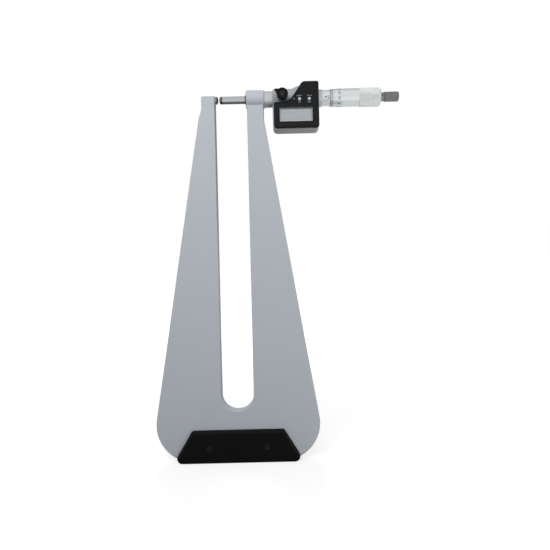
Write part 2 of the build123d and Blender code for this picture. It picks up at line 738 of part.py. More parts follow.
def battery_contact():
    """Dished contact on the holder's floor under the cell."""
    outer = BATTERY_DIAMETER / 2 - HOLDER_WALL
    inner = outer / 2
    back = battery_front()
    front = back - CONTACT_RISE - CONTACT_THICKNESS
    profile = Polyline(
        (outer, front),
        (outer, front + CONTACT_THICKNESS),
        (inner, back),
        (0, back),
        (0, back - CONTACT_THICKNESS),
        (inner, back - CONTACT_THICKNESS),
        close=True,
    )
    return on_line(Pos(BATTERY_X, 0, BATTERY_Z) * revolve(make_face(profile), Axis.Y))


def seal_front():
    """Front of the seal in the cap's neck."""
    return HEAD_REAR - CAVITY_REAR_WALL + (CAVITY_REAR_WALL - SEAL_LENGTH) / 2


def battery_cap():
    """Coin-slot cap in the rear wall."""
    front = HEAD_REAR - CAVITY_REAR_WALL + RUNNING_FIT
    back = HEAD_REAR + CAP_FLANGE
    cap = post(BATTERY_X, BATTERY_Z, front, HEAD_REAR, CAP_NECK_DIAMETER)
    flange = post(BATTERY_X, BATTERY_Z, HEAD_REAR, back, CAP_FLANGE_DIAMETER)
    cap += chamfer(edges_facing(flange, back), CAP_FLANGE / 3)
    groove = post(BATTERY_X, BATTERY_Z, seal_front(), seal_front() + SEAL_LENGTH, CAP_NECK_DIAMETER)
    groove -= post(
        BATTERY_X, BATTERY_Z, seal_front(), seal_front() + SEAL_LENGTH, CAP_NECK_DIAMETER - 2 * SEAL_GROOVE
    )
    cap -= groove
    slot = SlotOverall(CAP_SLOT_LENGTH, CAP_SLOT_WIDTH)
    cap -= slab(Pos(BATTERY_X, BATTERY_Z) * slot, back - CAP_SLOT_DEPTH, back)
    return on_line(cap)


def battery_seal():
    """Seal ring in the cap's groove."""
    front = seal_front()
    seal = post(BATTERY_X, BATTERY_Z, front, front + SEAL_LENGTH, CAP_NECK_DIAMETER + RUNNING_FIT)
    seal -= post(BATTERY_X, BATTERY_Z, front, front + SEAL_LENGTH, CAP_NECK_DIAMETER - 2 * SEAL_GROOVE)
    return on_line(seal)


def knob_front():
    """Depth of the lock knob's front face."""
    return -LOCK_BOSS_FRONT - RUNNING_FIT - LOCK_KNOB_HEIGHT


def lock_lever():
    """Round lock knob with a nose to push."""
    radius = LOCK_KNOB_DIAMETER / 2
    root = LOCK_NOSE_ROOT / 2
    nose_at = LOCK_NOSE_REACH - LOCK_NOSE_RADIUS
    cheek = [(math.sqrt(radius**2 - root**2), root), (nose_at, LOCK_NOSE_RADIUS)]
    web = make_face(Polyline(*cheek, *[(x, -y) for x, y in reversed(cheek)], close=True))
    face = Circle(radius) + web + Pos(nose_at, 0) * Circle(LOCK_NOSE_RADIUS)
    face = Pos(LOCK_X, 0) * Rot(0, 0, LOCK_NOSE_ANGLE) * face
    knob = slab(face, knob_front(), -LOCK_BOSS_FRONT - RUNNING_FIT)
    knob = chamfer(edges_facing(knob, knob_front()), LOCK_KNOB_EDGE)
    knob -= post(LOCK_X, 0, knob_front(), knob_front() + LOCK_DISH_DEPTH, LOCK_DISH_DIAMETER)
    knob -= post(LOCK_X, 0, knob_front(), 0, LOCK_SCREW_DIAMETER)
    return on_line(knob)


def shoe_front():
    """Depth where the lock screw meets its shoe."""
    return -SPINDLE_DIAMETER / 2 - LOCK_SHOE_LENGTH


def lock_screw():
    """Screw that the knob turns against the shoe."""
    front = knob_front() + LOCK_DISH_DEPTH
    screw = post(LOCK_X, 0, front, shoe_front() - RUNNING_FIT, LOCK_SCREW_DIAMETER)
    slot = Box(LOCK_SCREW_DIAMETER, DRIVER_SLOT_DEPTH * 2, DRIVER_SLOT_WIDTH)
    screw -= Pos(LOCK_X, front, 0) * Rot(0, LOCK_NOSE_ANGLE, 0) * slot
    return on_line(screw)


def lock_shoe():
    """Brass shoe hollowed to fit the spindle."""
    shoe = post(LOCK_X, 0, shoe_front(), 0, LOCK_SHOE_DIAMETER)
    return on_line(shoe - ring(HEAD_LEFT, CHAMBER_LEFT, SPINDLE_DIAMETER + 2 * RUNNING_FIT))


def rotor_spring():
    """Dished washer that keeps the rotor against its stop."""
    right = CHAMBER_LEFT + ROTOR_SPRING_LENGTH
    outer = HUB_FLANGE_DIAMETER / 2
    inner = HUB_DIAMETER / 2
    thick = ROTOR_SPRING_THICKNESS
    return on_line(
        turned((CHAMBER_LEFT, outer), (CHAMBER_LEFT + thick, outer), (right, inner), (right - thick, inner))
    )


def key_block():
    """Block of the key, from the spindle's keyway to the hub's outside."""
    low = SPINDLE_DIAMETER / 2 - KEYWAY_DEPTH + KEY_FIT
    high = HUB_DIAMETER / 2
    length = HUB_RIGHT - KEY_LEFT - KEY_FIT
    width = KEYWAY_WIDTH - 2 * KEY_FIT
    return Pos(KEY_LEFT + length / 2, 0, (low + high) / 2) * Box(length, width, high - low)


def rotor_hub():
    """Brass hub that runs on the spindle."""
    hub = ring(HUB_LEFT, ROTOR_LEFT, HUB_FLANGE_DIAMETER, SPINDLE_DIAMETER + 2 * RUNNING_FIT)
    hub += ring(ROTOR_LEFT, HUB_RIGHT, HUB_DIAMETER, SPINDLE_DIAMETER + 2 * RUNNING_FIT)
    return on_line(hub - key_block())


def rotor_key():
    """Key in the hub."""
    return on_line(key_block() & ring(HUB_LEFT, HUB_RIGHT, HUB_DIAMETER))


def rotor_disc():
    """Turning disc of the encoder."""
    outer = CHAMBER_DIAMETER - 2 * ROTOR_CLEARANCE
    return on_line(ring(ROTOR_LEFT, ROTOR_LEFT + ROTOR_THICKNESS, outer, HUB_DIAMETER))


def stator_disc():
    """Fixed disc of the encoder."""
    return on_line(ring(STATOR_LEFT, SPACER_LEFT, CHAMBER_DIAMETER, STATOR_BORE_DIAMETER))


def stator_spacer():
    """Spacer between the stator and the nut's flange."""
    bore = CHAMBER_DIAMETER - 2 * SPACER_WALL
    return on_line(ring(SPACER_LEFT, NUT_FLANGE_LEFT, CHAMBER_DIAMETER, bore))


def inner_sleeve():
    """Micrometer nut: a flanged sleeve, threaded and slit at its far end."""
    thread_bore = THREAD_DIAMETER / 2 + RUNNING_FIT
    free_bore = THREAD_DIAMETER / 2 + INNER_SLEEVE_GAP
    outer = INNER_SLEEVE_DIAMETER / 2
    thread_start = NUT_RIGHT - NUT_THREAD_LENGTH
    sleeve = turned(
        (NUT_FLANGE_LEFT, free_bore),
        (NUT_FLANGE_LEFT, CHAMBER_DIAMETER / 2),
        (NUT_FLANGE_RIGHT, CHAMBER_DIAMETER / 2),
        (NUT_FLANGE_RIGHT, outer),
        (NUT_RIGHT, outer),
        (NUT_RIGHT, thread_bore),
        (thread_start, thread_bore),
        (thread_start, free_bore),
    )
    for i in range(NUT_SLOT_COUNT):
        slit = Box(NUT_SLOT_LENGTH, NUT_SLOT_WIDTH, INNER_SLEEVE_DIAMETER)
        slit = Pos(NUT_RIGHT - NUT_SLOT_LENGTH / 2, 0, INNER_SLEEVE_DIAMETER / 2) * slit
        sleeve -= Rot(i * 360 / NUT_SLOT_COUNT, 0, 0) * slit
    return on_line(sleeve)


def adjusting_nut():
    """Ring nut that closes the slit end, with spanner notches."""
    nut = ring(NUT_RIGHT - ADJUSTING_NUT_LENGTH, NUT_RIGHT, ADJUSTING_NUT_DIAMETER, INNER_SLEEVE_DIAMETER)
    reach = ADJUSTING_NUT_DIAMETER / 2
    notch = Box(ADJUSTING_NUT_LENGTH, ADJUSTING_NOTCH_WIDTH, ADJUSTING_NOTCH_DEPTH)
    for angle in (0, 90, 180, 270):
        nut -= Rot(angle, 0, 0) * Pos(NUT_RIGHT, 0, reach) * notch
    return on_line(nut)


def sleeve_collar():
    """Collar that clamps the nut's flange in the housing."""
    radius = COLLAR_DIAMETER / 2
    return on_line(
        turned(
            (NUT_FLANGE_RIGHT, INNER_SLEEVE_DIAMETER / 2),
            (NUT_FLANGE_RIGHT, CHAMBER_DIAMETER / 2),
            (HEAD_RIGHT, CHAMBER_DIAMETER / 2),
            (HEAD_RIGHT, radius),
            (COLLAR_RIGHT - COLLAR_EDGE, radius),
            (COLLAR_RIGHT, radius - COLLAR_EDGE),
            (COLLAR_RIGHT, INNER_SLEEVE_DIAMETER / 2),
        )
    )


def sleeve():
    """Graduated sleeve."""
    return on_line(ring(COLLAR_RIGHT, SLEEVE_RIGHT, SLEEVE_DIAMETER, INNER_SLEEVE_DIAMETER))


def spindle():
    """Measuring spindle with its keyway, its screw and the cone that carries the thimble."""
    radius = SPINDLE_DIAMETER / 2
    thread = THREAD_DIAMETER / 2
    shaft = turned(
        (SPINDLE_FACE + SPINDLE_TIP_LENGTH, 0),
        (SPINDLE_FACE + SPINDLE_TIP_LENGTH, radius),
        (THREAD_LEFT, radius),
        (THREAD_LEFT + thread - radius, thread),
        (THIMBLE_ROOM_RIGHT, thread),
        (CONE_RIGHT, CONE_END_DIAMETER / 2),
        (CONE_RIGHT, 0),
    )
    key_right = KEY_LEFT + HUB_LENGTH
    left = KEY_LEFT - TRAVEL_OUT - KEYWAY_RUNOUT
    right = key_right + OPENING_AT_REST + KEYWAY_RUNOUT
    groove = Box(right - left, KEYWAY_WIDTH, KEYWAY_DEPTH * 2)
    shaft -= Pos((left + right) / 2, 0, radius) * groove
    shaft -= ring(THIMBLE_RIGHT - BASE_STUD_LENGTH, CONE_RIGHT, BASE_STUD_DIAMETER)
    return on_line(shaft)


def thimble():
    """Graduated thimble with its bevel and knurled grip."""
    radius = THIMBLE_DIAMETER / 2
    bore = SLEEVE_DIAMETER / 2 + FREE_GAP
    band_left = THIMBLE_RIGHT - GRIP_BAND_LENGTH
    band = fluted(band_left, THIMBLE_RIGHT, GRIP_BAND_DIAMETER, FLUTE_COUNT, FLUTE_DEPTH)
    rim = GRIP_BAND_DIAMETER / 2
    edge = THIMBLE_REAR_EDGE
    band &= turned(
        (band_left, 0),
        (band_left, radius),
        (band_left + rim - radius, rim),
        (THIMBLE_RIGHT - edge, rim),
        (THIMBLE_RIGHT, rim - edge),
        (THIMBLE_RIGHT, 0),
    )
    body = turned(
        (THIMBLE_LEFT, 0),
        (THIMBLE_LEFT, THIMBLE_EDGE_DIAMETER / 2),
        (THIMBLE_LEFT + THIMBLE_BEVEL, radius),
        (band_left, radius),
        (band_left, 0),
    )
    body += band
    body -= ring(THIMBLE_LEFT, THIMBLE_ROOM_RIGHT, 2 * bore)
    body -= turned(
        (THIMBLE_ROOM_RIGHT, 0),
        (THIMBLE_ROOM_RIGHT, THREAD_DIAMETER / 2),
        (CONE_RIGHT, CONE_END_DIAMETER / 2),
        (CONE_RIGHT, BASE_STUD_DIAMETER / 2),
        (THIMBLE_RIGHT, BASE_STUD_DIAMETER / 2),
        (THIMBLE_RIGHT, 0),
    )
    return on_line(body)


def tooth_ring(base, tip):
    """Ring of ratchet teeth that rise from base to tip along the spindle line."""
    left, right = sorted((base, tip))
    teeth = ring(left, right, TOOTH_OUTER_DIAMETER, TOOTH_INNER_DIAMETER)
    pitch = math.pi * TOOTH_OUTER_DIAMETER / TOOTH_COUNT
    gullet = make_face(Polyline((base, 0), (tip, 0), (tip, pitch), close=True))
    cut = extrude(gullet, amount=TOOTH_OUTER_DIAMETER)
    for i in range(TOOTH_COUNT):
        teeth -= Rot(i * 360 / TOOTH_COUNT, 0, 0) * cut
    return teeth


def ratchet_base():
    """Flanged stud that draws the thimble onto the spindle's cone, with ratchet teeth on its face."""
    base = ring(THIMBLE_RIGHT - BASE_STUD_LENGTH, THIMBLE_RIGHT, BASE_STUD_DIAMETER)
    base += ring(THIMBLE_RIGHT, BASE_RIGHT, BASE_DIAMETER)
    base += tooth_ring(BASE_RIGHT, TOOTH_TOP)
    base -= ring(BASE_RIGHT - RATCHET_SCREW_BITE, TOOTH_TOP, RATCHET_SCREW_DIAMETER)
    middle = (THIMBLE_RIGHT + BASE_RIGHT) / 2
    base -= post(middle, 0, -BASE_DIAMETER / 2, SPANNER_HOLE_DEPTH - BASE_DIAMETER / 2, SPANNER_HOLE_DIAMETER)
    return on_line(base)


def ear_block(left, right, clearance):
    """Cross bar of the clutch's two ears, or the room for it."""
    reach = KNOB_CAVITY_DIAMETER + 2 * EAR_REACH + 2 * clearance
    return Pos((left + right) / 2, 0, 0) * Box(right - left, EAR_WIDTH + 2 * clearance, reach)


def ratchet_clutch():
    """Toothed clutch ring with two ears, lifted clear of the base as at the top of a click."""
    body_left = CLUTCH_RIGHT - CLUTCH_THICKNESS
    clutch = ring(body_left, CLUTCH_RIGHT, KNOB_CAVITY_DIAMETER - 2 * RUNNING_FIT)
    clutch += ear_block(body_left, CLUTCH_RIGHT, 0)
    clutch += tooth_ring(body_left, body_left - TOOTH_HEIGHT)
    return on_line(clutch - ring(KNOB_LEFT, CAVITY_RIGHT, JOURNAL_DIAMETER + 2 * FREE_GAP))


def ratchet_spring():
    """Stack of dished washers behind the clutch."""
    washers = []
    outer = TOOTH_OUTER_DIAMETER / 2
    inner = JOURNAL_DIAMETER / 2 + FREE_GAP
    thick = SPRING_THICKNESS
    for i in range(SPRING_COUNT):
        left = CLUTCH_RIGHT + i * SPRING_PITCH
        right = left + SPRING_PITCH
        near, far = (inner, outer) if i % 2 else (outer, inner)
        rim = [(right, far), (right - thick, far)]
        washers.append(on_line(turned((left, near), (left + thick, near), *rim)))
    return washers


def ratchet_knob():
    """Straight-knurled ratchet knob on its journal."""
    radius = KNOB_DIAMETER / 2
    knob = fluted(KNOB_LEFT, KNOB_RIGHT, KNOB_DIAMETER, KNOB_FLUTE_COUNT, KNOB_FLUTE_DEPTH)
    knob &= turned(
        (KNOB_LEFT, 0),
        (KNOB_LEFT, radius - KNOB_CHAMFER),
        (KNOB_LEFT + KNOB_CHAMFER, radius),
        (KNOB_RIGHT - KNOB_CHAMFER, radius),
        (KNOB_RIGHT, radius - KNOB_CHAMFER),
        (KNOB_RIGHT, 0),
    )
    wall_right = CAVITY_RIGHT + KNOB_WALL
    knob -= ring(KNOB_LEFT, CAVITY_RIGHT, KNOB_CAVITY_DIAMETER)
    knob -= ear_block(KNOB_LEFT, CLUTCH_RIGHT, RUNNING_FIT)
    knob -= ring(CAVITY_RIGHT, wall_right, JOURNAL_DIAMETER + 2 * RUNNING_FIT)
    knob -= ring(wall_right, KNOB_RIGHT, PLUG_DIAMETER)
    return on_line(knob)


def ratchet_screw():
    """Shoulder screw that the knob turns on."""
    shoulder_right = CAVITY_RIGHT + KNOB_WALL + RUNNING_FIT
    head_right = shoulder_right + RATCHET_SCREW_HEAD
    screw = ring(BASE_RIGHT - RATCHET_SCREW_BITE, BASE_RIGHT, RATCHET_SCREW_DIAMETER)
    screw += ring(BASE_RIGHT, shoulder_right, JOURNAL_DIAMETER)
    screw += ring(shoulder_right, head_right, RATCHET_SCREW_HEAD_DIAMETER)
    slot = Box(DRIVER_SLOT_DEPTH * 2, DRIVER_SLOT_WIDTH, RATCHET_SCREW_HEAD_DIAMETER)
    return on_line(screw - Pos(head_right, 0, 0) * slot)


def ratchet_plug():
    """Plug that closes the end of the knob."""
    right = KNOB_RIGHT - PLUG_SETBACK
    return on_line(ring(right - PLUG_THICKNESS, right, PLUG_DIAMETER))


NODES = (
    frame,
    anvil,
    anvil_tip,
    front_grip,
    front_grip_screws,
    rear_grip,
    rear_grip_screws,
    spindle_wiper,
    head_stem,
    head_housing,
    front_bezel,
    case_screws,
    lcd_window,
    lcd_panel,
    lcd_connector,
    circuit_board,
    button_switches,
    set_button,
    mode_button,
    battery,
    battery_holder,
    battery_contact,
    battery_cap,
    battery_seal,
    lock_lever,
    lock_screw,
    lock_shoe,
    rotor_spring,
    rotor_hub,
    rotor_key,
    rotor_disc,
    stator_disc,
    stator_spacer,
    inner_sleeve,
    adjusting_nut,
    sleeve_collar,
    sleeve,
    spindle,
    spindle_tip,
    thimble,
    ratchet_base,
    ratchet_clutch,
    ratchet_spring,
    ratchet_screw,
    ratchet_knob,
    ratchet_plug,
)


def write_nodes():
    """Write one STEP file for each node."""
    os.makedirs("parts", exist_ok=True)
    for make in NODES:
        made = make()
        part = Compound(made) if isinstance(made, list) else made
        export_step(part, os.path.join("parts", make.__name__ + ".step"))


write_nodes()
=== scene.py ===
import logging
import math
from abc import ABC, abstractmethod
from dataclasses import dataclass
from enum import Enum
from typing import Iterator, Sequence, Union

import bpy
from mathutils import Matrix, Vector


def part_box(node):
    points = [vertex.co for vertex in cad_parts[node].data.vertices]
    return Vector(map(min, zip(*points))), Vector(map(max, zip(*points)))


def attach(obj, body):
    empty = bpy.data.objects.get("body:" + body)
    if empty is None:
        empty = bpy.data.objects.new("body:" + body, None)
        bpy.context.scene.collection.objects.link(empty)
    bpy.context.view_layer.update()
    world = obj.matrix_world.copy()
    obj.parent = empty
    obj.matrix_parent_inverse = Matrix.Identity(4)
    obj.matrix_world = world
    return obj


# Looks of a digital sheet metal micrometer. Lengths are in metres unless a name ends in _mm.
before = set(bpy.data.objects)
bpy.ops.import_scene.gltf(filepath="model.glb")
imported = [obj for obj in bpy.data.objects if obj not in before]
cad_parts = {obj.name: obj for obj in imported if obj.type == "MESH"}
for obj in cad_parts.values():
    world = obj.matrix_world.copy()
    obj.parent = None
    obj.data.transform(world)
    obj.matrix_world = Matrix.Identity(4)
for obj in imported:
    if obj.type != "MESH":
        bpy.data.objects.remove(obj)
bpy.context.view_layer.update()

LOG = logging.getLogger("micrometer")
MM = 0.001
AXIS_HEIGHT = 0.3486
SCALE_FACING = math.radians(-18.0)

Colour = tuple[float, float, float]
Place = tuple[float, float]
Spot = tuple[float, float, float]

WHITE: Colour = (1.0, 1.0, 1.0)


class Body(Enum):
    """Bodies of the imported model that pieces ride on."""

    FRAME = "frame"
    SPINDLE = "spindle"


class Signal:
    """A number in a material's nodes. Arithmetic on it adds Math nodes."""

    def __init__(self, shader: "Shader", socket: bpy.types.NodeSocket) -> None:
        """Keep the socket and the shader that it belongs to."""
        self.shader = shader
        self.socket = socket

    def _math(self, operation: str, *terms: "Term") -> "Signal":
        """Result of a Math node.

        Args:
            operation: the Math node's operation.
            terms: its inputs in order.

        Returns:
            The node's output.
        """
        node = self.shader.add("ShaderNodeMath", {"operation": operation}, dict(enumerate(terms)))
        return Signal(self.shader, node.outputs[0])

    def __add__(self, other: "Term") -> "Signal":
        """Sum."""
        return self._math("ADD", self, other)

    __radd__ = __add__

    def __sub__(self, other: "Term") -> "Signal":
        """Difference."""
        return self._math("SUBTRACT", self, other)

    def __rsub__(self, other: "Term") -> "Signal":
        """Difference with a plain number first."""
        return self._math("SUBTRACT", other, self)

    def __mul__(self, other: "Term") -> "Signal":
        """Product."""
        return self._math("MULTIPLY", self, other)

    __rmul__ = __mul__

    def greater(self, other: "Term") -> "Signal":
        """1 where this is the larger."""
        return self._math("GREATER_THAN", self, other)

    def either(self, other: "Term") -> "Signal":
        """The larger of the two."""
        return self._math("MAXIMUM", self, other)

    def mixed(self, other: "Signal", share: float) -> "Signal":
        """This and another blended, this by its share and the other by the rest."""
        return self * share + other * (1.0 - share)


Term = Union[Signal, float]
Paint = Union[Colour, bpy.types.NodeSocket]


class Shader:
    """Node tree of one material or of the world."""

    def __init__(self, tree: bpy.types.NodeTree) -> None:
        """Start with an empty tree."""
        self.tree = tree
        self.tree.nodes.clear()

    def add(self, kind: str, settings: dict | None = None, inputs: dict | None = None) -> bpy.types.Node:
        """Add a node of any kind.

        Args:
            kind: the node's type.
            settings: its settings, such as a Math node's operation, which are set first.
            inputs: values or links of its sockets, by name or number.

        Returns:
            The new node.
        """
        node = self.tree.nodes.new(kind)
        for name, value in (settings or {}).items():
            setattr(node, name, value)
        for key, value in (inputs or {}).items():
            self._feed(node.inputs[key], value)
        return node

    def _feed(self, socket: bpy.types.NodeSocket, value: object) -> None:
        """Set a socket's value, or link it.

        Args:
            socket: the input.
            value: a signal, an output socket, a number or a colour.
        """
        if isinstance(value, Signal):
            self.tree.links.new(value.socket, socket)
        elif isinstance(value, bpy.types.NodeSocket):
            self.tree.links.new(value, socket)
        elif socket.type == "RGBA":
            socket.default_value = (*value, 1.0)
        else:
            socket.default_value = value

    def signal(self, node: bpy.types.Node, output: str | int = 0) -> Signal:
        """One output of a node as a signal."""
        return Signal(self, node.outputs[output])

    def place(self) -> bpy.types.NodeSocket:
        """Place on the object, in metres of the row frame at rest."""
        return self.add("ShaderNodeTexCoord").outputs["Object"]

    def axes(self) -> tuple[Signal, Signal, Signal]:
        """The place's x, y and z as signals."""
        split = self.add("ShaderNodeSeparateXYZ", None, {0: self.place()})
        return self.signal(split, 0), self.signal(split, 1), self.signal(split, 2)

    def noise(self, size: Sequence[float], detail: float = 2.0, roughness: float = 0.5) -> Signal:
        """Soft noise.

        Args:
            size: how large its lumps are along x, y and z, in metres.
            detail: how many finer layers it has.
            roughness: how strong those are.

        Returns:
            Noise between 0 and 1, mostly near 0.5.
        """
        scale = tuple(1.0 / length for length in size)
        scaled = self.add("ShaderNodeVectorMath", {"operation": "MULTIPLY"}, {0: self.place(), 1: scale})
        values = {"Vector": scaled.outputs[0], "Scale": 1.0, "Detail": detail, "Roughness": roughness}
        return self.signal(self.add("ShaderNodeTexNoise", None, values), 0)

    def eased(self, value: Term | bpy.types.NodeSocket, fade: Place, levels: Place) -> Signal:
        """Smooth change from one level to another.

        Args:
            value: what it follows.
            fade: the values where it starts and ends.
            levels: the levels there.

        Returns:
            The level.
        """
        values = {"Value": value, "From Min": fade[0], "From Max": fade[1], "To Min": levels[0], "To Max": levels[1]}
        return self.signal(self.add("ShaderNodeMapRange", {"interpolation_type": "SMOOTHSTEP"}, values))

    def tint(self, amount: Signal, low: Paint, high: Paint) -> bpy.types.NodeSocket:
        """Colour between two.

        Args:
            amount: 0 for the low colour, 1 for the high one.
            low: first colour.
            high: second colour.

        Returns:
            The mixed colour's socket.
        """
        node = self.add("ShaderNodeMix", {"data_type": "RGBA"}, {0: amount, 6: low, 7: high})
        return node.outputs[2]

    def bump(self, height: Signal, distance: float) -> bpy.types.NodeSocket:
        """Bumped normal.

        Args:
            height: the height, 0 to 1.
            distance: how high 1 is, in metres.

        Returns:
            The normal's socket.
        """
        values = {"Strength": 1.0, "Distance": distance, "Height": height}
        return self.add("ShaderNodeBump", None, values).outputs[0]

    def finish(self, surface: bpy.types.Node) -> None:
        """Send a shader to the output."""
        self.add("ShaderNodeOutputMaterial", None, {"Surface": surface.outputs[0]})


def shade(colour: Colour, factor: float) -> Colour:
    """A colour made lighter or darker."""
    return (colour[0] * factor, colour[1] * factor, colour[2] * factor)


@dataclass(frozen=True)
class Finish(ABC):
    """How a surface looks, as a material."""

    name: str
    colour: Colour
    roughness: float
    gloss: float = 0.5

    @abstractmethod
    def pattern(self, shader: Shader) -> dict[str, object]:
        """Values and links of the surface shader's sockets."""

    def toned(self, shader: Shader, amount: Signal, tone: float) -> bpy.types.NodeSocket:
        """The finish's colour, darker where an amount is 0 and lighter where it is 1.

        Args:
            shader: the material's nodes.
            amount: how light it is, 0 to 1.
            tone: how much darker and lighter it gets.

        Returns:
            The colour's socket.
        """
        return shader.tint(amount, shade(self.colour, 1.0 - tone), shade(self.colour, 1.0 + tone))

    def roughened(self, amount: Signal, spread: float) -> Signal:
        """The finish's roughness, spread evenly to both sides of its value."""
        return self.roughness - spread / 2 + amount * spread

    def material(self) -> bpy.types.Material:
        """The finish's material, made at its first use.

        Returns:
            The material.
        """
        made = bpy.data.materials.get(self.name)
        if made is not None:
            return made
        made = bpy.data.materials.new(self.name)
        made.use_nodes = True
        shader = Shader(made.node_tree)
        values = {"Specular IOR Level": self.gloss}
        values.update(self.pattern(shader))
        shader.finish(shader.add("ShaderNodeBsdfPrincipled", None, values))
        return made


@dataclass(frozen=True)
class SprayedPaint(Finish):
    """Satin paint with the fine skin of a sprayed coat."""

    cloud_size: float = 0.045
    cloud_tone: float = 0.03
    cloud_share: float = 0.7
    skin_size: float = 0.0011
    skin_depth: float = 0.000012
    rough_spread: float = 0.1

    def pattern(self, shader: Shader) -> dict[str, object]:
        """Soft clouds of tone and a fine bumped skin.

        Args:
            shader: the material's nodes.

        Returns:
            Values of the surface shader's sockets.
        """
        cloud = shader.noise((self.cloud_size,) * 3, detail=3.0, roughness=0.55)
        skin = shader.noise((self.skin_size,) * 3)
        return {
            "Base Color": self.toned(shader, cloud.mixed(skin, self.cloud_share), self.cloud_tone),
            "Roughness": self.roughened(skin, self.rough_spread),
            "Normal": shader.bump(skin, self.skin_depth),
        }


@dataclass(frozen=True)
class TurnedMetal(Finish):
    """Metal with fine rings round the spindle line from turning or grinding."""

    ring_size: float = 0.00022
    ring_reach: float = 0.02
    ring_share: float = 0.6
    ring_tone: float = 0.06
    ring_depth: float = 0.0000015
    ring_rough: float = 0.06
    polish: float = 0.04
    stain_size: Spot = (0.012, 0.006, 0.006)
    stain_rough: float = 0.05
    metal: float = 1.0

    def rings(self, shader: Shader) -> Signal:
        """Fine rings round the spindle line."""
        return shader.noise((self.ring_size, self.ring_reach, self.ring_reach), roughness=0.6)

    def turned_roughness(self, rings: Signal) -> Signal:
        """Roughness that the rings change."""
        return self.roughness - self.polish + rings * self.ring_rough

    def pattern(self, shader: Shader) -> dict[str, object]:
        """Fine rings and faint broad stains.

        Args:
            shader: the material's nodes.

        Returns:
            Values of the surface shader's sockets.
        """
        rings = self.rings(shader)
        stains = shader.noise(self.stain_size)
        return {
            "Base Color": self.toned(shader, rings.mixed(stains, self.ring_share), self.ring_tone),
            "Metallic": self.metal,
            "Roughness": self.turned_roughness(rings) + stains * self.stain_rough,
            "Normal": shader.bump(rings, self.ring_depth),
        }


@dataclass(frozen=True)
class BandedChrome(TurnedMetal):
    """Satin chrome with a matte grained band, as on the thimble's knurled grip."""

    band_left: float = 0.0
    band_right: float = 0.0
    band_colour: Colour = (0.6, 0.6, 0.6)
    band_roughness: float = 0.6
    grain_size: float = 0.00025
    grain_depth: float = 0.00004
    grain_dark: float = 0.82
    grain_light: float = 1.12

    def pattern(self, shader: Shader) -> dict[str, object]:
        """Turned rings outside the band and blasted grain on it.

        Args:
            shader: the material's nodes.

        Returns:
            Values of the surface shader's sockets.
        """
        x = shader.axes()[0]
        band = x.greater(self.band_left) * (1.0 - x.greater(self.band_right))
        rings = self.rings(shader)
        grain = shader.noise((self.grain_size,) * 3, roughness=0.6)
        stains = shader.noise(self.stain_size)
        plain = self.toned(shader, rings.mixed(stains, self.ring_share), self.ring_tone)
        low = shade(self.band_colour, self.grain_dark)
        high = shade(self.band_colour, self.grain_light)
        relief = rings * (self.ring_depth / self.grain_depth) * (1.0 - band) + grain * band
        return {
            "Base Color": shader.tint(band, plain, shader.tint(grain, low, high)),
            "Metallic": self.metal,
            "Roughness": self.turned_roughness(rings) + band * (self.band_roughness - self.roughness),
            "Normal": shader.bump(relief, self.grain_depth),
        }


@dataclass(frozen=True)
class MouldedPlastic(Finish):
    """Moulded plastic or rubber with a fine eroded grain."""

    grain_size: float = 0.0003
    grain_depth: float = 0.000014
    grain_rough: float = 0.04
    handled_size: float = 0.018
    handled_rough: float = 0.08
    tone: float = 0.18
    coat: float = 0.0
    coat_roughness: float = 0.12

    def pattern(self, shader: Shader) -> dict[str, object]:
        """Fine grain, with patches polished by handling.

        Args:
            shader: the material's nodes.

        Returns:
            Values of the surface shader's sockets.
        """
        grain = shader.noise((self.grain_size,) * 3, roughness=0.55)
        handled = shader.noise((self.handled_size,) * 3)
        smooth = self.roughness - (self.handled_rough + self.grain_rough) / 2
        return {
            "Base Color": self.toned(shader, grain.mixed(handled, 0.5), self.tone),
            "Roughness": smooth + handled * self.handled_rough + grain * self.grain_rough,
            "Coat Weight": self.coat,
            "Coat Roughness": self.coat_roughness,
            "Normal": shader.bump(grain, self.grain_depth),
        }


@dataclass(frozen=True)
class ClearPlastic(Finish):
    """Clear window that shows a faint sheen and what lies behind it."""

    cover: float = 0.07
    wipe_size: Spot = (0.009, 0.009, 0.0016)
    wipe_rough: float = 0.05
    wipe_cover: float = 0.04

    def pattern(self, shader: Shader) -> dict[str, object]:
        """Faint wiping marks in the sheen.

        Args:
            shader: the material's nodes.

        Returns:
            Values of the surface shader's sockets.
        """
        wiped = shader.noise(self.wipe_size)
        return {
            "Base Color": self.colour,
            "Roughness": self.roughness + wiped * self.wipe_rough,
            "Alpha": self.cover - self.wipe_cover / 2 + wiped * self.wipe_cover,
        }


@dataclass(frozen=True)
class DisplayGlass(Finish):
    """Pale reflective display with its faint fine layers."""

    tone: float = 0.03
    cloud_size: Spot = (0.02, 0.02, 0.007)
    cloud_share: float = 0.8
    grain_size: float = 0.0002
    rough_spread: float = 0.04

    def pattern(self, shader: Shader) -> dict[str, object]:
        """Slight clouding and a fine grain.

        Args:
            shader: the material's nodes.

        Returns:
            Values of the surface shader's sockets.
        """
        cloud = shader.noise(self.cloud_size)
        grain = shader.noise((self.grain_size,) * 3, detail=1.0)
        return {
            "Base Color": self.toned(shader, cloud.mixed(grain, self.cloud_share), self.tone),
            "Roughness": self.roughened(grain, self.rough_spread),
        }


@dataclass(frozen=True)
class FilledInk(Finish):
    """Enamel ink in a mark, slightly uneven."""

    patch_size: float = 0.0005
    tone: float = 0.15
    rough_spread: float = 0.1

    def pattern(self, shader: Shader) -> dict[str, object]:
        """Uneven tone along the mark.

        Args:
            shader: the material's nodes.

        Returns:
            Values of the surface shader's sockets.
        """
        uneven = shader.noise((self.patch_size,) * 3)
        return {
            "Base Color": self.toned(shader, uneven, self.tone),
            "Roughness": self.roughened(uneven, self.rough_spread),
        }


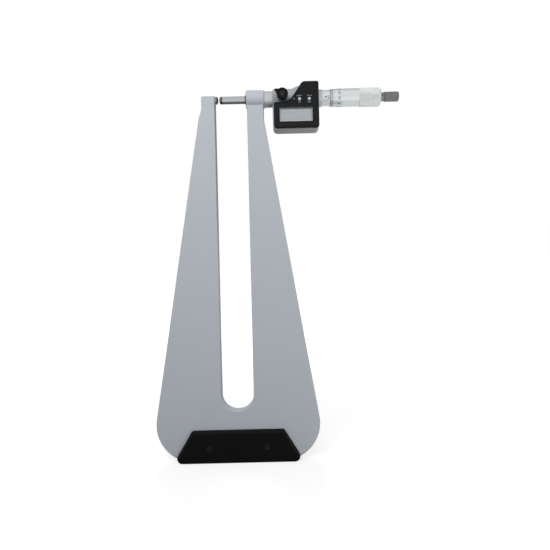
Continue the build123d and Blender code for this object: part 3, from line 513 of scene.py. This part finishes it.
FRAME_PAINT = SprayedPaint("sprayed frame paint", (0.43, 0.46, 0.50), 0.46, gloss=0.3)
HOUSING_PAINT = SprayedPaint(
    "satin head housing",
    (0.33, 0.35, 0.37),
    0.42,
    gloss=0.3,
    cloud_size=0.012,
    cloud_tone=0.04,
    skin_size=0.0005,
    skin_depth=0.000008,
)
GRIP_BLACK = MouldedPlastic("moulded grip black", (0.0055, 0.0055, 0.006), 0.5, gloss=0.07)
# Lighter black for a painted highlight along the bezel's step.
BEZEL_STEP_HIGHLIGHT = MouldedPlastic("bezel step", (0.016, 0.016, 0.017), 0.4, gloss=0.13, grain_depth=0.000008)
BEZEL_BLACK = MouldedPlastic("bezel black", (0.0085, 0.0085, 0.0092), 0.36, gloss=0.11, grain_depth=0.000008)
KNOB_BLACK = MouldedPlastic(
    "lock knob gloss black",
    (0.0045, 0.0045, 0.005),
    0.2,
    gloss=0.08,
    grain_depth=0.000003,
    tone=0.1,
    coat=0.06,
)
BUTTON_BLUE = MouldedPlastic("button pale blue", (0.38, 0.48, 0.56), 0.42, grain_depth=0.000005, tone=0.05)
RUBBER_BLACK = MouldedPlastic("seal rubber", (0.012, 0.012, 0.012), 0.75, gloss=0.2)
BOARD_GREEN = MouldedPlastic("board green", (0.02, 0.12, 0.05), 0.4)
GROUND_STEEL = TurnedMetal("ground steel", (0.48, 0.49, 0.515), 0.4)
SATIN_STEEL = TurnedMetal("satin steel", (0.60, 0.61, 0.63), 0.56)
HARD_METAL = TurnedMetal("hard metal face", (0.12, 0.125, 0.13), 0.34)
BLACK_OXIDE = TurnedMetal("black oxide", (0.016, 0.016, 0.017), 0.5, gloss=0.2, metal=0.0)
DARK_STEEL = TurnedMetal("blackened steel", (0.05, 0.05, 0.055), 0.42)
KNURLED_STEEL = TurnedMetal("ratchet steel", (0.20, 0.196, 0.19), 0.3)
SATIN_CHROME = TurnedMetal("satin chrome", (0.63, 0.665, 0.675), 0.3, metal=0.85)
COLLAR_CHROME = TurnedMetal("dull chrome", (0.48, 0.49, 0.53), 0.36, metal=0.85)
SPRING_STEEL = TurnedMetal("spring steel", (0.6, 0.58, 0.52), 0.3)
TURNED_BRASS = TurnedMetal("turned brass", (0.70, 0.53, 0.25), 0.3)
WINDOW_CLEAR = ClearPlastic("display window", (0.9, 0.93, 0.93), 0.08)
DISPLAY_PALE = DisplayGlass("display pale", (0.315, 0.345, 0.37), 0.4, gloss=0.3)
# Lighter colour for a painted highlight along the display's foot.
DISPLAY_FOOT_HIGHLIGHT = DisplayGlass("display foot highlight", (0.46, 0.48, 0.49), 0.4, gloss=0.3)
DISPLAY_GHOST = DisplayGlass("display idle segments", (0.298, 0.327, 0.35), 0.4, gloss=0.3)
SCALE_INK = FilledInk("scale black", (0.022, 0.02, 0.02), 0.5)
WORD_INK = FilledInk("word white", (0.40, 0.41, 0.42), 0.5)


def dress(finish: Finish, *nodes: str) -> None:
    """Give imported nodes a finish.

    Args:
        finish: the finish.
        nodes: names of the nodes.
    """
    for node in nodes:
        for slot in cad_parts[node].material_slots:
            slot.material = finish.material()
        LOG.info("dressed %s in %s", node, finish.name)


class Surface(ABC):
    """A surface that marks are laid on, unrolled to u and v in millimetres."""

    @abstractmethod
    def point(self, u: float, v: float, lift: float) -> Vector:
        """Point over the surface in metres."""


@dataclass(frozen=True)
class Turned(Surface):
    """Surface of revolution round the spindle line. u runs along X and v up round it."""

    left: float
    left_radius: float
    right: float
    right_radius: float
    facing: float

    def point(self, u: float, v: float, lift: float) -> Vector:
        """Point over the surface.

        Args:
            u: millimetres from the left end along X.
            v: millimetres round the left end, up from the facing line.
            lift: millimetres above the surface.

        Returns:
            The point in metres.
        """
        x = self.left + u * MM
        share = (x - self.left) / (self.right - self.left)
        radius = self.left_radius + (self.right_radius - self.left_radius) * share + lift * MM
        angle = self.facing + v * MM / self.left_radius
        return Vector((x, -radius * math.cos(angle), AXIS_HEIGHT + radius * math.sin(angle)))


@dataclass(frozen=True)
class Flat(Surface):
    """Flat front face. u runs along X and v up."""

    x: float
    y: float
    z: float

    def point(self, u: float, v: float, lift: float) -> Vector:
        """Point over the face.

        Args:
            u: millimetres along X.
            v: millimetres up.
            lift: millimetres in front of the face.

        Returns:
            The point in metres.
        """
        return Vector((self.x + u * MM, self.y - lift * MM, self.z + v * MM))


ROUND: tuple[Place, ...] = ((1, 0), (3, 0), (4, 1), (4, 5), (3, 6), (1, 6), (0, 5), (0, 1), (1, 0))
# Letters and digits as single strokes on a grid 4 wide and 6 high.
STROKES: dict[str, tuple[tuple[Place, ...], ...]] = {
    "0": (ROUND,),
    "1": (((0.8, 4.8), (2.2, 6), (2.2, 0)),),
    "2": (((0, 5), (1, 6), (3, 6), (4, 5), (4, 3.8), (0, 0), (4, 0)),),
    "3": (
        ((0, 5.2), (1, 6), (3, 6), (4, 5), (4, 4), (3, 3.1), (4, 2.2), (4, 1), (3, 0), (1, 0), (0, 0.8)),
        ((1.4, 3.1), (3, 3.1)),
    ),
    "4": (((3, 0), (3, 6), (0, 1.8), (4, 1.8)),),
    "5": (((3.8, 6), (0.3, 6), (0, 3.2), (1.2, 3.8), (2.8, 3.8), (4, 2.8), (4, 1), (3, 0), (1, 0), (0, 0.8)),),
    "O": (ROUND,),
    "N": (((0, 0), (0, 6), (4, 0), (4, 6)),),
    "F": (((0, 0), (0, 6), (4, 6)), ((0, 3.2), (3, 3.2))),
    "S": (((0, 0.8), (1, 0), (3, 0), (4, 1), (4, 2.2), (3, 3), (1, 3), (0, 3.8), (0, 5), (1, 6), (3, 6), (4, 5.2)),),
    "E": (((4, 0), (0, 0), (0, 6), (4, 6)), ((0, 3.2), (3, 3.2))),
    "T": (((2, 0), (2, 6)), ((0, 6), (4, 6))),
    "M": (((0, 0), (0, 6), (2, 2.6), (4, 6), (4, 0)),),
    "I": (((2, 0), (2, 6)),),
    "Z": (((0, 6), (4, 6), (0, 0), (4, 0)),),
    "R": (((0, 0), (0, 6), (3, 6), (4, 5), (4, 4), (3, 3), (0, 3)), ((1.8, 3), (4, 0))),
    "/": (((0.4, -0.4), (3.6, 6.4)),),
    ".": (((2, 0), (2, 0.5)),),
}
GRID_WIDTH = 4
GRID_HEIGHT = 6
GRID_PITCH = 5.6


class Marks:
    """Thin strokes on one surface, gathered in one piece. Lengths on the surface are in millimetres."""

    PROUD_MM = 0.012
    SUNK_MM = 0.02
    STEP_MM = 0.35

    def __init__(self, name: str, surface: Surface) -> None:
        """Start an empty piece on a surface."""
        self.name = name
        self.surface = surface
        self.points: list[Vector] = []
        self.faces: list[tuple[int, ...]] = []

    def stroke(self, start: Place, end: Place, width: float) -> None:
        """Lay a straight stroke with square ends.

        Args:
            start: where it starts, in millimetres on the surface.
            end: where it ends.
            width: how wide it is.
        """
        length = math.dist(start, end)
        along = ((end[0] - start[0]) / length, (end[1] - start[1]) / length)
        across = (-along[1] * width / 2, along[0] * width / 2)
        count = max(1, math.ceil(length / self.STEP_MM))
        first = len(self.points)
        corners = ((1, self.PROUD_MM), (-1, self.PROUD_MM), (-1, -self.SUNK_MM), (1, -self.SUNK_MM))
        for i in range(count + 1):
            u = start[0] + (end[0] - start[0]) * i / count
            v = start[1] + (end[1] - start[1]) * i / count
            for side, lift in corners:
                self.points.append(self.surface.point(u + side * across[0], v + side * across[1], lift))
        sides = len(corners)
        for i in range(count):
            near = first + sides * i
            for corner in range(sides):
                after = (corner + 1) % sides
                self.faces.append((near + corner, near + after, near + sides + after, near + sides + corner))
        last = first + sides * count
        self.faces.append(tuple(reversed(range(first, first + sides))))
        self.faces.append(tuple(range(last, last + sides)))

    def line(self, places: Sequence[Place], width: float) -> None:
        """Lay strokes through places, each drawn half a width long at its ends.

        Args:
            places: corners of the line.
            width: how wide it is.
        """
        for start, end in zip(places, places[1:]):
            length = math.dist(start, end)
            extra = width / 2 / length
            ahead = (end[0] + (end[0] - start[0]) * extra, end[1] + (end[1] - start[1]) * extra)
            behind = (start[0] - (end[0] - start[0]) * extra, start[1] - (end[1] - start[1]) * extra)
            self.stroke(behind, ahead, width)

    def word(self, text: str, middle: Place, height: float, width: float) -> None:
        """Write a short word in single strokes.

        Args:
            text: the word.
            middle: its middle.
            height: height of its letters.
            width: width of a stroke.
        """
        grid = height / GRID_HEIGHT
        left = middle[0] - ((len(text) - 1) * GRID_PITCH + GRID_WIDTH) * grid / 2
        low = middle[1] - height / 2
        for number, letter in enumerate(text):
            start = left + number * GRID_PITCH * grid
            for places in STROKES[letter]:
                self.line([(start + x * grid, low + y * grid) for x, y in places], width)

    def piece(self, finish: Finish, body: Body) -> bpy.types.Object:
        """Make the piece.

        Args:
            finish: its finish.
            body: the body that it rides on.

        Returns:
            The object.
        """
        mesh = bpy.data.meshes.new(self.name)
        mesh.from_pydata([tuple(point) for point in self.points], [], self.faces)
        mesh.materials.append(finish.material())
        made = bpy.data.objects.new(self.name, mesh)
        bpy.context.scene.collection.objects.link(made)
        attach(made, body.value)
        LOG.info("made %s with %d faces", self.name, len(self.faces))
        return made


class SubAssembly(ABC):
    """A group of pieces that is made and dressed together."""

    @abstractmethod
    def make(self) -> None:
        """Build the group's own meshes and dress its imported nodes."""


@dataclass
class ThroatFrame(SubAssembly):
    """Plate frame, its anvil and the bush that carries the head."""

    def make(self) -> None:
        """Dress the plate, the measuring stud and the neck."""
        dress(FRAME_PAINT, "frame")
        dress(GROUND_STEEL, "anvil")
        dress(SATIN_STEEL, "head_stem")
        dress(HARD_METAL, "anvil_tip")
        dress(RUBBER_BLACK, "spindle_wiper")


@dataclass
class FootGrips(SubAssembly):
    """Insulating grips on the foot with their screws."""

    def make(self) -> None:
        """Dress the grips and screws."""
        dress(GRIP_BLACK, "front_grip", "rear_grip")
        dress(DARK_STEEL, "front_grip_screws", "rear_grip_screws")


@dataclass
class DisplayHead(SubAssembly):
    """Head with its bezel, display and buttons."""

    letter_mm: float = 0.95
    letter_stroke_mm: float = 0.17
    word_gap_mm: float = 2.95
    pointer_mm: float = 0.9
    pointer_gap_mm: float = 4.6
    pointer_slope: float = 0.7
    ledge_mm: float = 1.0
    mask_margin_mm: float = 0.55
    foot_line_mm: float = 0.4
    step_side_mm: float = 1.3
    step_gap_mm: float = 2.0
    step_line_mm: float = 0.28
    digit_mm: float = 7.0
    digit_count: int = 6
    digits_share: float = 0.8
    digit_share: float = 0.62
    segment_mm: float = 0.75
    segment_gap_share: float = 0.62

    def make(self) -> None:
        """Dress the head, draw what is printed on it, and paint highlights at the display's foot and along the
        bezel's step.
        """
        dress(HOUSING_PAINT, "head_housing")
        dress(BEZEL_BLACK, "front_bezel")
        dress(DARK_STEEL, "case_screws")
        dress(WINDOW_CLEAR, "lcd_window")
        dress(DISPLAY_PALE, "lcd_panel")
        dress(RUBBER_BLACK, "lcd_connector", "battery_holder")
        dress(BOARD_GREEN, "circuit_board")
        dress(SPRING_STEEL, "button_switches", "battery_contact")
        dress(BUTTON_BLUE, "set_button", "mode_button")
        self.words()
        self.display_mask()
        self.bezel_step()
        self.display_segments()

    def words(self) -> None:
        """Generic words over and under the buttons, with a small pointer beside them."""
        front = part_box("front_bezel")[0][1]
        marks = Marks("button_words", Flat(0.0, front, 0.0))
        for node, over, under in (("set_button", "ON/OFF", "SET"), ("mode_button", "MM/IN", "ZERO")):
            low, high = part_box(node)
            x = (low[0] + high[0]) / 2 / MM
            z = (low[2] + high[2]) / 2 / MM
            marks.word(over, (x, z + self.word_gap_mm), self.letter_mm, self.letter_stroke_mm)
            marks.word(under, (x, z - self.word_gap_mm), self.letter_mm, self.letter_stroke_mm)
            if node == "set_button":
                tip = (x - self.pointer_gap_mm, z)
                back, rise = tip[0] - self.pointer_mm, self.pointer_mm * self.pointer_slope
                marks.line([tip, (back, z + rise), (back, z - rise), tip], self.letter_stroke_mm)
        marks.piece(WORD_INK, Body.FRAME)

    def display_mask(self) -> None:
        """Pale mask printed on the window beside the display's field, and a lighter line painted at its foot as a
        highlight on the lit lower edge of the window's recess.
        """
        low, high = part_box("lcd_window")
        left, right = low[0] / MM + self.mask_margin_mm, high[0] / MM - self.mask_margin_mm
        foot, head = low[2] / MM + self.ledge_mm, high[2] / MM - self.ledge_mm
        wide = self.ledge_mm - self.mask_margin_mm
        mask = Marks("display_mask", Flat(0.0, low[1], 0.0))
        for x in (left + wide / 2, right - wide / 2):
            mask.stroke((x, foot), (x, head), wide)
        mask.piece(DISPLAY_PALE, Body.FRAME)
        # Painted highlight: a lighter line along the foot of the display's field, where the recess's lower edge
        # catches the light.
        line = Marks("display_foot_highlight", Flat(0.0, low[1], 0.0))
        middle = foot - self.foot_line_mm / 2
        line.stroke((left, middle), (right, middle), self.foot_line_mm)
        line.piece(DISPLAY_FOOT_HIGHLIGHT, Body.FRAME)

    def bezel_step(self) -> None:
        """Lighter line painted round the window as a highlight along the edge of a moulded step."""
        low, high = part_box("lcd_window")
        bezel_low, bezel_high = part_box("front_bezel")
        left, right = bezel_low[0] / MM + self.step_side_mm, bezel_high[0] / MM - self.step_side_mm
        foot, head = low[2] / MM - self.step_gap_mm, high[2] / MM + self.step_gap_mm
        half = self.step_line_mm / 2
        # Painted highlight: lighter lines round the window where the edge of a moulded step catches the light.
        marks = Marks("bezel_step", Flat(0.0, bezel_low[1], 0.0))
        for z in (foot, head):
            marks.stroke((left - half, z), (right + half, z), self.step_line_mm)
        for x in (left, right):
            marks.stroke((x, foot + half), (x, head - half), self.step_line_mm)
        marks.piece(BEZEL_STEP_HIGHLIGHT, Body.FRAME)

    def display_segments(self) -> None:
        """Idle segments that show faintly in the display, which is off."""
        low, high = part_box("lcd_window")
        panel_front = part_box("lcd_panel")[0][1]
        marks = Marks("display_segments", Flat(0.0, panel_front, 0.0))
        pitch = (high[0] - low[0]) / MM * self.digits_share / self.digit_count
        middle_x = (low[0] + high[0]) / 2 / MM
        foot = (low[2] + high[2]) / 2 / MM - self.digit_mm / 2
        half = self.digit_mm / 2
        wide = pitch * self.digit_share
        gap = self.segment_mm * self.segment_gap_share
        for number in range(self.digit_count):
            left = middle_x + (number - self.digit_count / 2) * pitch + (pitch - wide) / 2
            right = left + wide
            for level in range(3):
                z = foot + half * level
                marks.stroke((left + gap, z), (right - gap, z), self.segment_mm)
            for level in range(2):
                z = foot + half * level
                marks.stroke((left, z + gap), (left, z + half - gap), self.segment_mm)
                marks.stroke((right, z + gap), (right, z + half - gap), self.segment_mm)
        marks.piece(DISPLAY_GHOST, Body.FRAME)


@dataclass
class BatteryBay(SubAssembly):
    """Cell and its cap in the back of the head."""

    def make(self) -> None:
        """Dress the cell, the cap and its seal."""
        dress(SPRING_STEEL, "battery")
        dress(GRIP_BLACK, "battery_cap")
        dress(RUBBER_BLACK, "battery_seal")


@dataclass
class SpindleLock(SubAssembly):
    """Lock knob with its screw and shoe."""

    def make(self) -> None:
        """Dress the lock."""
        dress(KNOB_BLACK, "lock_lever")
        dress(BLACK_OXIDE, "lock_screw")
        dress(TURNED_BRASS, "lock_shoe")


@dataclass
class Encoder(SubAssembly):
    """Keyed rotor and fixed disc inside the head."""

    def make(self) -> None:
        """Dress the encoder's pieces."""
        dress(SPRING_STEEL, "rotor_spring")
        dress(TURNED_BRASS, "rotor_hub")
        dress(GROUND_STEEL, "rotor_key", "stator_spacer")
        dress(BOARD_GREEN, "rotor_disc", "stator_disc")


@dataclass
class GraduatedSleeve(SubAssembly):
    """Sleeve with its long scale, and the nut inside it."""

    facing: float = SCALE_FACING
    range_mm: int = 25
    numbered_every: int = 5
    margin_mm: float = 0.5
    line_mm: float = 0.26
    half_tick_mm: float = 0.8
    tick_mm: float = 1.3
    long_tick_mm: float = 2.1
    digit_mm: float = 1.7
    digit_gap_mm: float = 0.75
    digit_stroke_mm: float = 0.34
    note_mm: float = 1.2
    note_stroke_mm: float = 0.26
    unit_mm: Place = (3.4, 1.5)
    value_mm: Place = (3.3, -1.8)

    def make(self) -> None:
        """Dress the sleeve and draw its scale."""
        dress(GROUND_STEEL, "inner_sleeve", "adjusting_nut")
        dress(COLLAR_CHROME, "sleeve_collar")
        dress(SATIN_CHROME, "sleeve")
        low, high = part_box("sleeve")
        radius = (high[2] - low[2]) / 2
        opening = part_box("spindle_tip")[0][0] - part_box("anvil_tip")[1][0]
        zero = (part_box("thimble")[0][0] - opening - low[0]) / MM
        marks = Marks("sleeve_scale", Turned(low[0], radius, high[0], radius, self.facing))
        marks.stroke((self.margin_mm, 0.0), (zero + self.range_mm + self.margin_mm, 0.0), self.line_mm)
        for number in range(self.range_mm + 1):
            tick = self.tick_mm if number % self.numbered_every else self.long_tick_mm
            marks.stroke((zero + number, -tick), (zero + number, 0.0), self.line_mm)
        for number in range(self.range_mm):
            half_way = zero + number + 0.5
            marks.stroke((half_way, -self.half_tick_mm), (half_way, 0.0), self.line_mm)
        for number in range(0, self.range_mm + 1, self.numbered_every):
            middle = (zero + number, self.digit_gap_mm + self.digit_mm / 2)
            marks.word(str(number), middle, self.digit_mm, self.digit_stroke_mm)
        marks.word("MM", self.unit_mm, self.note_mm, self.note_stroke_mm)
        marks.word("0.01", self.value_mm, self.note_mm, self.note_stroke_mm)
        marks.piece(SCALE_INK, Body.FRAME)


@dataclass
class GraduatedThimble(SubAssembly):
    """Spindle with its thimble and the scale on the thimble's bevel."""

    facing: float = SCALE_FACING
    bevel_mm: float = 8.0
    edge_radius_mm: float = 7.95
    body_radius_mm: float = 8.5
    band_mm: float = 21.0
    band_end_mm: float = 0.05
    band_colour: Colour = (0.74, 0.76, 0.75)
    divisions: int = 50
    numbered_every: int = 5
    line_mm: float = 0.36
    tick_mm: float = 2.9
    long_tick_mm: float = 4.8
    # Place and width of the painted shadow ring at the thimble's front edge; the ticks start at it.
    ring_mm: float = 0.35
    ring_width_mm: float = 0.4
    digit_mm: float = 2.3
    digit_stroke_mm: float = 0.42
    digit_place_mm: float = 0.9

    def make(self) -> None:
        """Dress the spindle and the thimble, draw the scale, and paint a dark shadow ring at the thimble's front
        edge.
        """
        low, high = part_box("thimble")
        dress(GROUND_STEEL, "spindle")
        dress(HARD_METAL, "spindle_tip")
        thimble = BandedChrome(
            "thimble chrome",
            SATIN_CHROME.colour,
            SATIN_CHROME.roughness,
            metal=SATIN_CHROME.metal,
            band_left=high[0] - self.band_mm * MM,
            band_right=high[0] - self.band_end_mm * MM,
            band_colour=self.band_colour,
        )
        dress(thimble, "thimble")
        bevel_end = low[0] + self.bevel_mm * MM
        edge_radius = self.edge_radius_mm * MM
        body_radius = self.body_radius_mm * MM
        bevel = Turned(low[0], edge_radius, bevel_end, body_radius, self.facing)
        ticks = Marks("thimble_ticks_and_shadow_ring", bevel)
        round_edge = 2 * math.pi * self.edge_radius_mm
        # Painted shadow: a dark ring in scale ink round the thimble's front edge, where the gap at the sleeve lies
        # in shade.
        ticks.stroke((self.ring_mm, 0.0), (self.ring_mm, round_edge), self.ring_width_mm)
        for number in range(self.divisions):
            around = round_edge * number / self.divisions
            reach = self.tick_mm if number % self.numbered_every else self.long_tick_mm
            ticks.stroke((self.ring_mm, around), (reach, around), self.line_mm)
        ticks.piece(SCALE_INK, Body.SPINDLE)
        barrel = Turned(bevel_end, body_radius, bevel_end + self.bevel_mm * MM, body_radius, self.facing)
        digits = Marks("thimble_digits", barrel)
        for number in range(0, self.divisions, self.numbered_every):
            around = 2 * math.pi * self.body_radius_mm * number / self.divisions
            digits.word(str(number), (self.digit_place_mm, around), self.digit_mm, self.digit_stroke_mm)
        digits.piece(SCALE_INK, Body.SPINDLE)


@dataclass
class Ratchet(SubAssembly):
    """Ratchet stop at the thimble's end."""

    def make(self) -> None:
        """Dress the ratchet's pieces."""
        dress(KNURLED_STEEL, "ratchet_base", "ratchet_knob", "ratchet_plug")
        dress(GROUND_STEEL, "ratchet_clutch", "ratchet_screw")
        dress(SPRING_STEEL, "ratchet_spring")


@dataclass(frozen=True)
class Lamp:
    """A soft square lamp that gloss doesn't show."""

    name: str
    place: Spot
    size: float
    power: float


@dataclass
class Studio:
    """Camera, lamps, floor, white surroundings and the cards that gloss shows."""

    camera_place: Spot = (0.047857, -0.501433, 0.191768)
    roll: float = math.radians(1.3658)
    focal_px: float = 516.398
    image_px: float = 550.0
    sensor_mm: float = 36.0
    clip_near: float = 0.01
    centre_px: Place = (284.279, 260.764)
    target: Spot = (0.03, 0.0, 0.25)
    floor_size: float = 8.0
    floor_fade: Place = (0.15, 0.9)
    floor_white: float = 0.68
    floor_colour: Colour = (0.42, 0.42, 0.42)
    ambient: float = 0.2
    low_card: tuple[Spot, Spot] = ((-0.4, -0.3, 0.0006), (1.6, 1.2, 0.0006))
    low_levels: Place = (0.05, 1.0)
    low_fade: Place = (0.05, 0.1)
    high_card: tuple[Spot, Spot] = ((-2.5, -0.45, 1.3), (2.5, 2.2, 0.36))
    high_levels: Place = (1.0, 0.1)
    high_fade: Place = (-0.3, 1.1)
    lamps: tuple[Lamp, ...] = (
        Lamp("key_lamp", (-0.12, -0.55, 0.7), 0.5, 4.4),
        Lamp("side_lamp", (0.6, -0.65, 0.2), 0.5, 2.0),
        Lamp("back_lamp", (-0.1, 0.7, 0.8), 0.6, 4.5),
    )

    def make(self) -> None:
        """Set up the studio."""
        self.camera()
        self.floor()
        self.cards()
        self.world()
        for lamp in self.lamps:
            self.light(lamp)
        bpy.context.scene.view_settings.view_transform = "Standard"

    def camera(self) -> None:
        """Camera at the photograph's place, rolled as it was."""
        data = bpy.data.cameras.new("photo_camera")
        data.sensor_width = self.sensor_mm
        data.lens = self.focal_px * self.sensor_mm / self.image_px
        data.shift_x = (self.image_px / 2 - self.centre_px[0]) / self.image_px
        data.shift_y = (self.centre_px[1] - self.image_px / 2) / self.image_px
        data.clip_start = self.clip_near
        right = Vector((math.cos(self.roll), 0.0, -math.sin(self.roll)))
        ahead = Vector((0.0, 1.0, 0.0))
        up = right.cross(ahead)
        turn = Matrix((right, up, -ahead)).transposed()
        camera = bpy.data.objects.new("photo_camera", data)
        camera.matrix_world = Matrix.Translation(self.camera_place) @ turn.to_4x4()
        bpy.context.scene.collection.objects.link(camera)
        bpy.context.scene.camera = camera

    def sheet(self, name: str, low: Spot, high: Spot) -> bpy.types.Object:
        """Flat sheet that belongs to the stage.

        Args:
            name: its name.
            low: its left front corner.
            high: its right rear corner.

        Returns:
            The object.
        """
        mesh = bpy.data.meshes.new(name)
        corners = [low, (high[0], low[1], low[2]), high, (low[0], high[1], high[2])]
        mesh.from_pydata(corners, [], [(0, 1, 2, 3)])
        mesh.materials.append(bpy.data.materials.new(name))
        mesh.materials[0].use_nodes = True
        made = bpy.data.objects.new(name, mesh)
        bpy.context.scene.collection.objects.link(made)
        return made

    def seen(self, shader: Shader) -> Signal:
        """1 for rays that show the surroundings, by sight, in gloss or through glass.

        Args:
            shader: the nodes that need it.

        Returns:
            The signal.
        """
        rays = shader.add("ShaderNodeLightPath")
        direct = shader.signal(rays, "Is Camera Ray").either(shader.signal(rays, "Is Glossy Ray"))
        return direct.either(shader.signal(rays, "Is Transmission Ray"))

    def floor(self) -> None:
        """Pale floor that shows white and keeps the object's soft shadow near it."""
        half = self.floor_size / 2
        floor = self.sheet("floor", (-half, -half, 0.0), (half, half, 0.0))
        shader = Shader(floor.active_material.node_tree)
        away = shader.add("ShaderNodeVectorMath", {"operation": "LENGTH"}, {0: shader.place()})
        fade = shader.eased(away.outputs["Value"], self.floor_fade, (0.0, 1.0))
        level = self.seen(shader) * (self.floor_white + fade * (1.0 - self.floor_white))
        matte = shader.add("ShaderNodeBsdfDiffuse", None, {"Color": self.floor_colour})
        white = shader.add("ShaderNodeEmission", None, {"Color": WHITE, "Strength": level})
        shader.finish(shader.add("ShaderNodeAddShader", None, {0: matte.outputs[0], 1: white.outputs[0]}))

    def cards(self) -> None:
        """Grey cards under and over the object that only gloss shows, which give round metal its shading."""
        self.card("low_card", *self.low_card, 0, self.low_fade, self.low_levels)
        self.card("high_card", *self.high_card, 1, self.high_fade, self.high_levels)

    def card(self, name: str, low: Spot, high: Spot, axis: int, fade: Place, levels: Place) -> None:
        """One card whose level changes along an axis.

        Args:
            name: its name.
            low: its left front corner.
            high: its right rear corner.
            axis: 0 where its level changes along X, 1 along Y.
            fade: where the change starts and ends.
            levels: its levels there, where 1 is white.
        """
        card = self.sheet(name, low, high)
        shader = Shader(card.active_material.node_tree)
        level = shader.eased(shader.axes()[axis], fade, levels)
        shader.finish(shader.add("ShaderNodeEmission", None, {"Color": WHITE, "Strength": level}))
        card.visible_camera = False
        card.visible_diffuse = False
        card.visible_shadow = False
        card.visible_transmission = False

    def world(self) -> None:
        """White surroundings for rays that show them, and a plain level of light on the object."""
        world = bpy.data.worlds.new("white room")
        world.use_nodes = True
        shader = Shader(world.node_tree)
        strength = self.ambient + self.seen(shader) * (1.0 - self.ambient)
        glow = shader.add("ShaderNodeBackground", None, {"Color": WHITE, "Strength": strength})
        shader.add("ShaderNodeOutputWorld", None, {"Surface": glow.outputs[0]})
        bpy.context.scene.world = world

    def light(self, lamp: Lamp) -> None:
        """Add one lamp, aimed at the object.

        Args:
            lamp: its place, size and power.
        """
        data = bpy.data.lights.new(lamp.name, "AREA")
        data.shape = "SQUARE"
        data.size = lamp.size
        data.energy = lamp.power
        made = bpy.data.objects.new(lamp.name, data)
        made.visible_glossy = False
        place = Vector(lamp.place)
        aim = (Vector(self.target) - place).to_track_quat("-Z", "Y")
        made.matrix_world = Matrix.Translation(place) @ aim.to_matrix().to_4x4()
        bpy.context.scene.collection.objects.link(made)


def sub_assemblies() -> Iterator[SubAssembly]:
    """The micrometer's groups in the order they are made."""
    for group in (ThroatFrame, FootGrips, DisplayHead, BatteryBay, SpindleLock, Encoder):
        yield group()
    for group in (GraduatedSleeve, GraduatedThimble, Ratchet):
        yield group()


def main() -> None:
    """Build the studio and the micrometer."""
    logging.basicConfig(level=logging.INFO, format="%(name)s: %(message)s")
    Studio().make()
    for group in sub_assemblies():
        LOG.info("making %s", type(group).__name__)
        group.make()


if __name__ == "__main__":
    main()
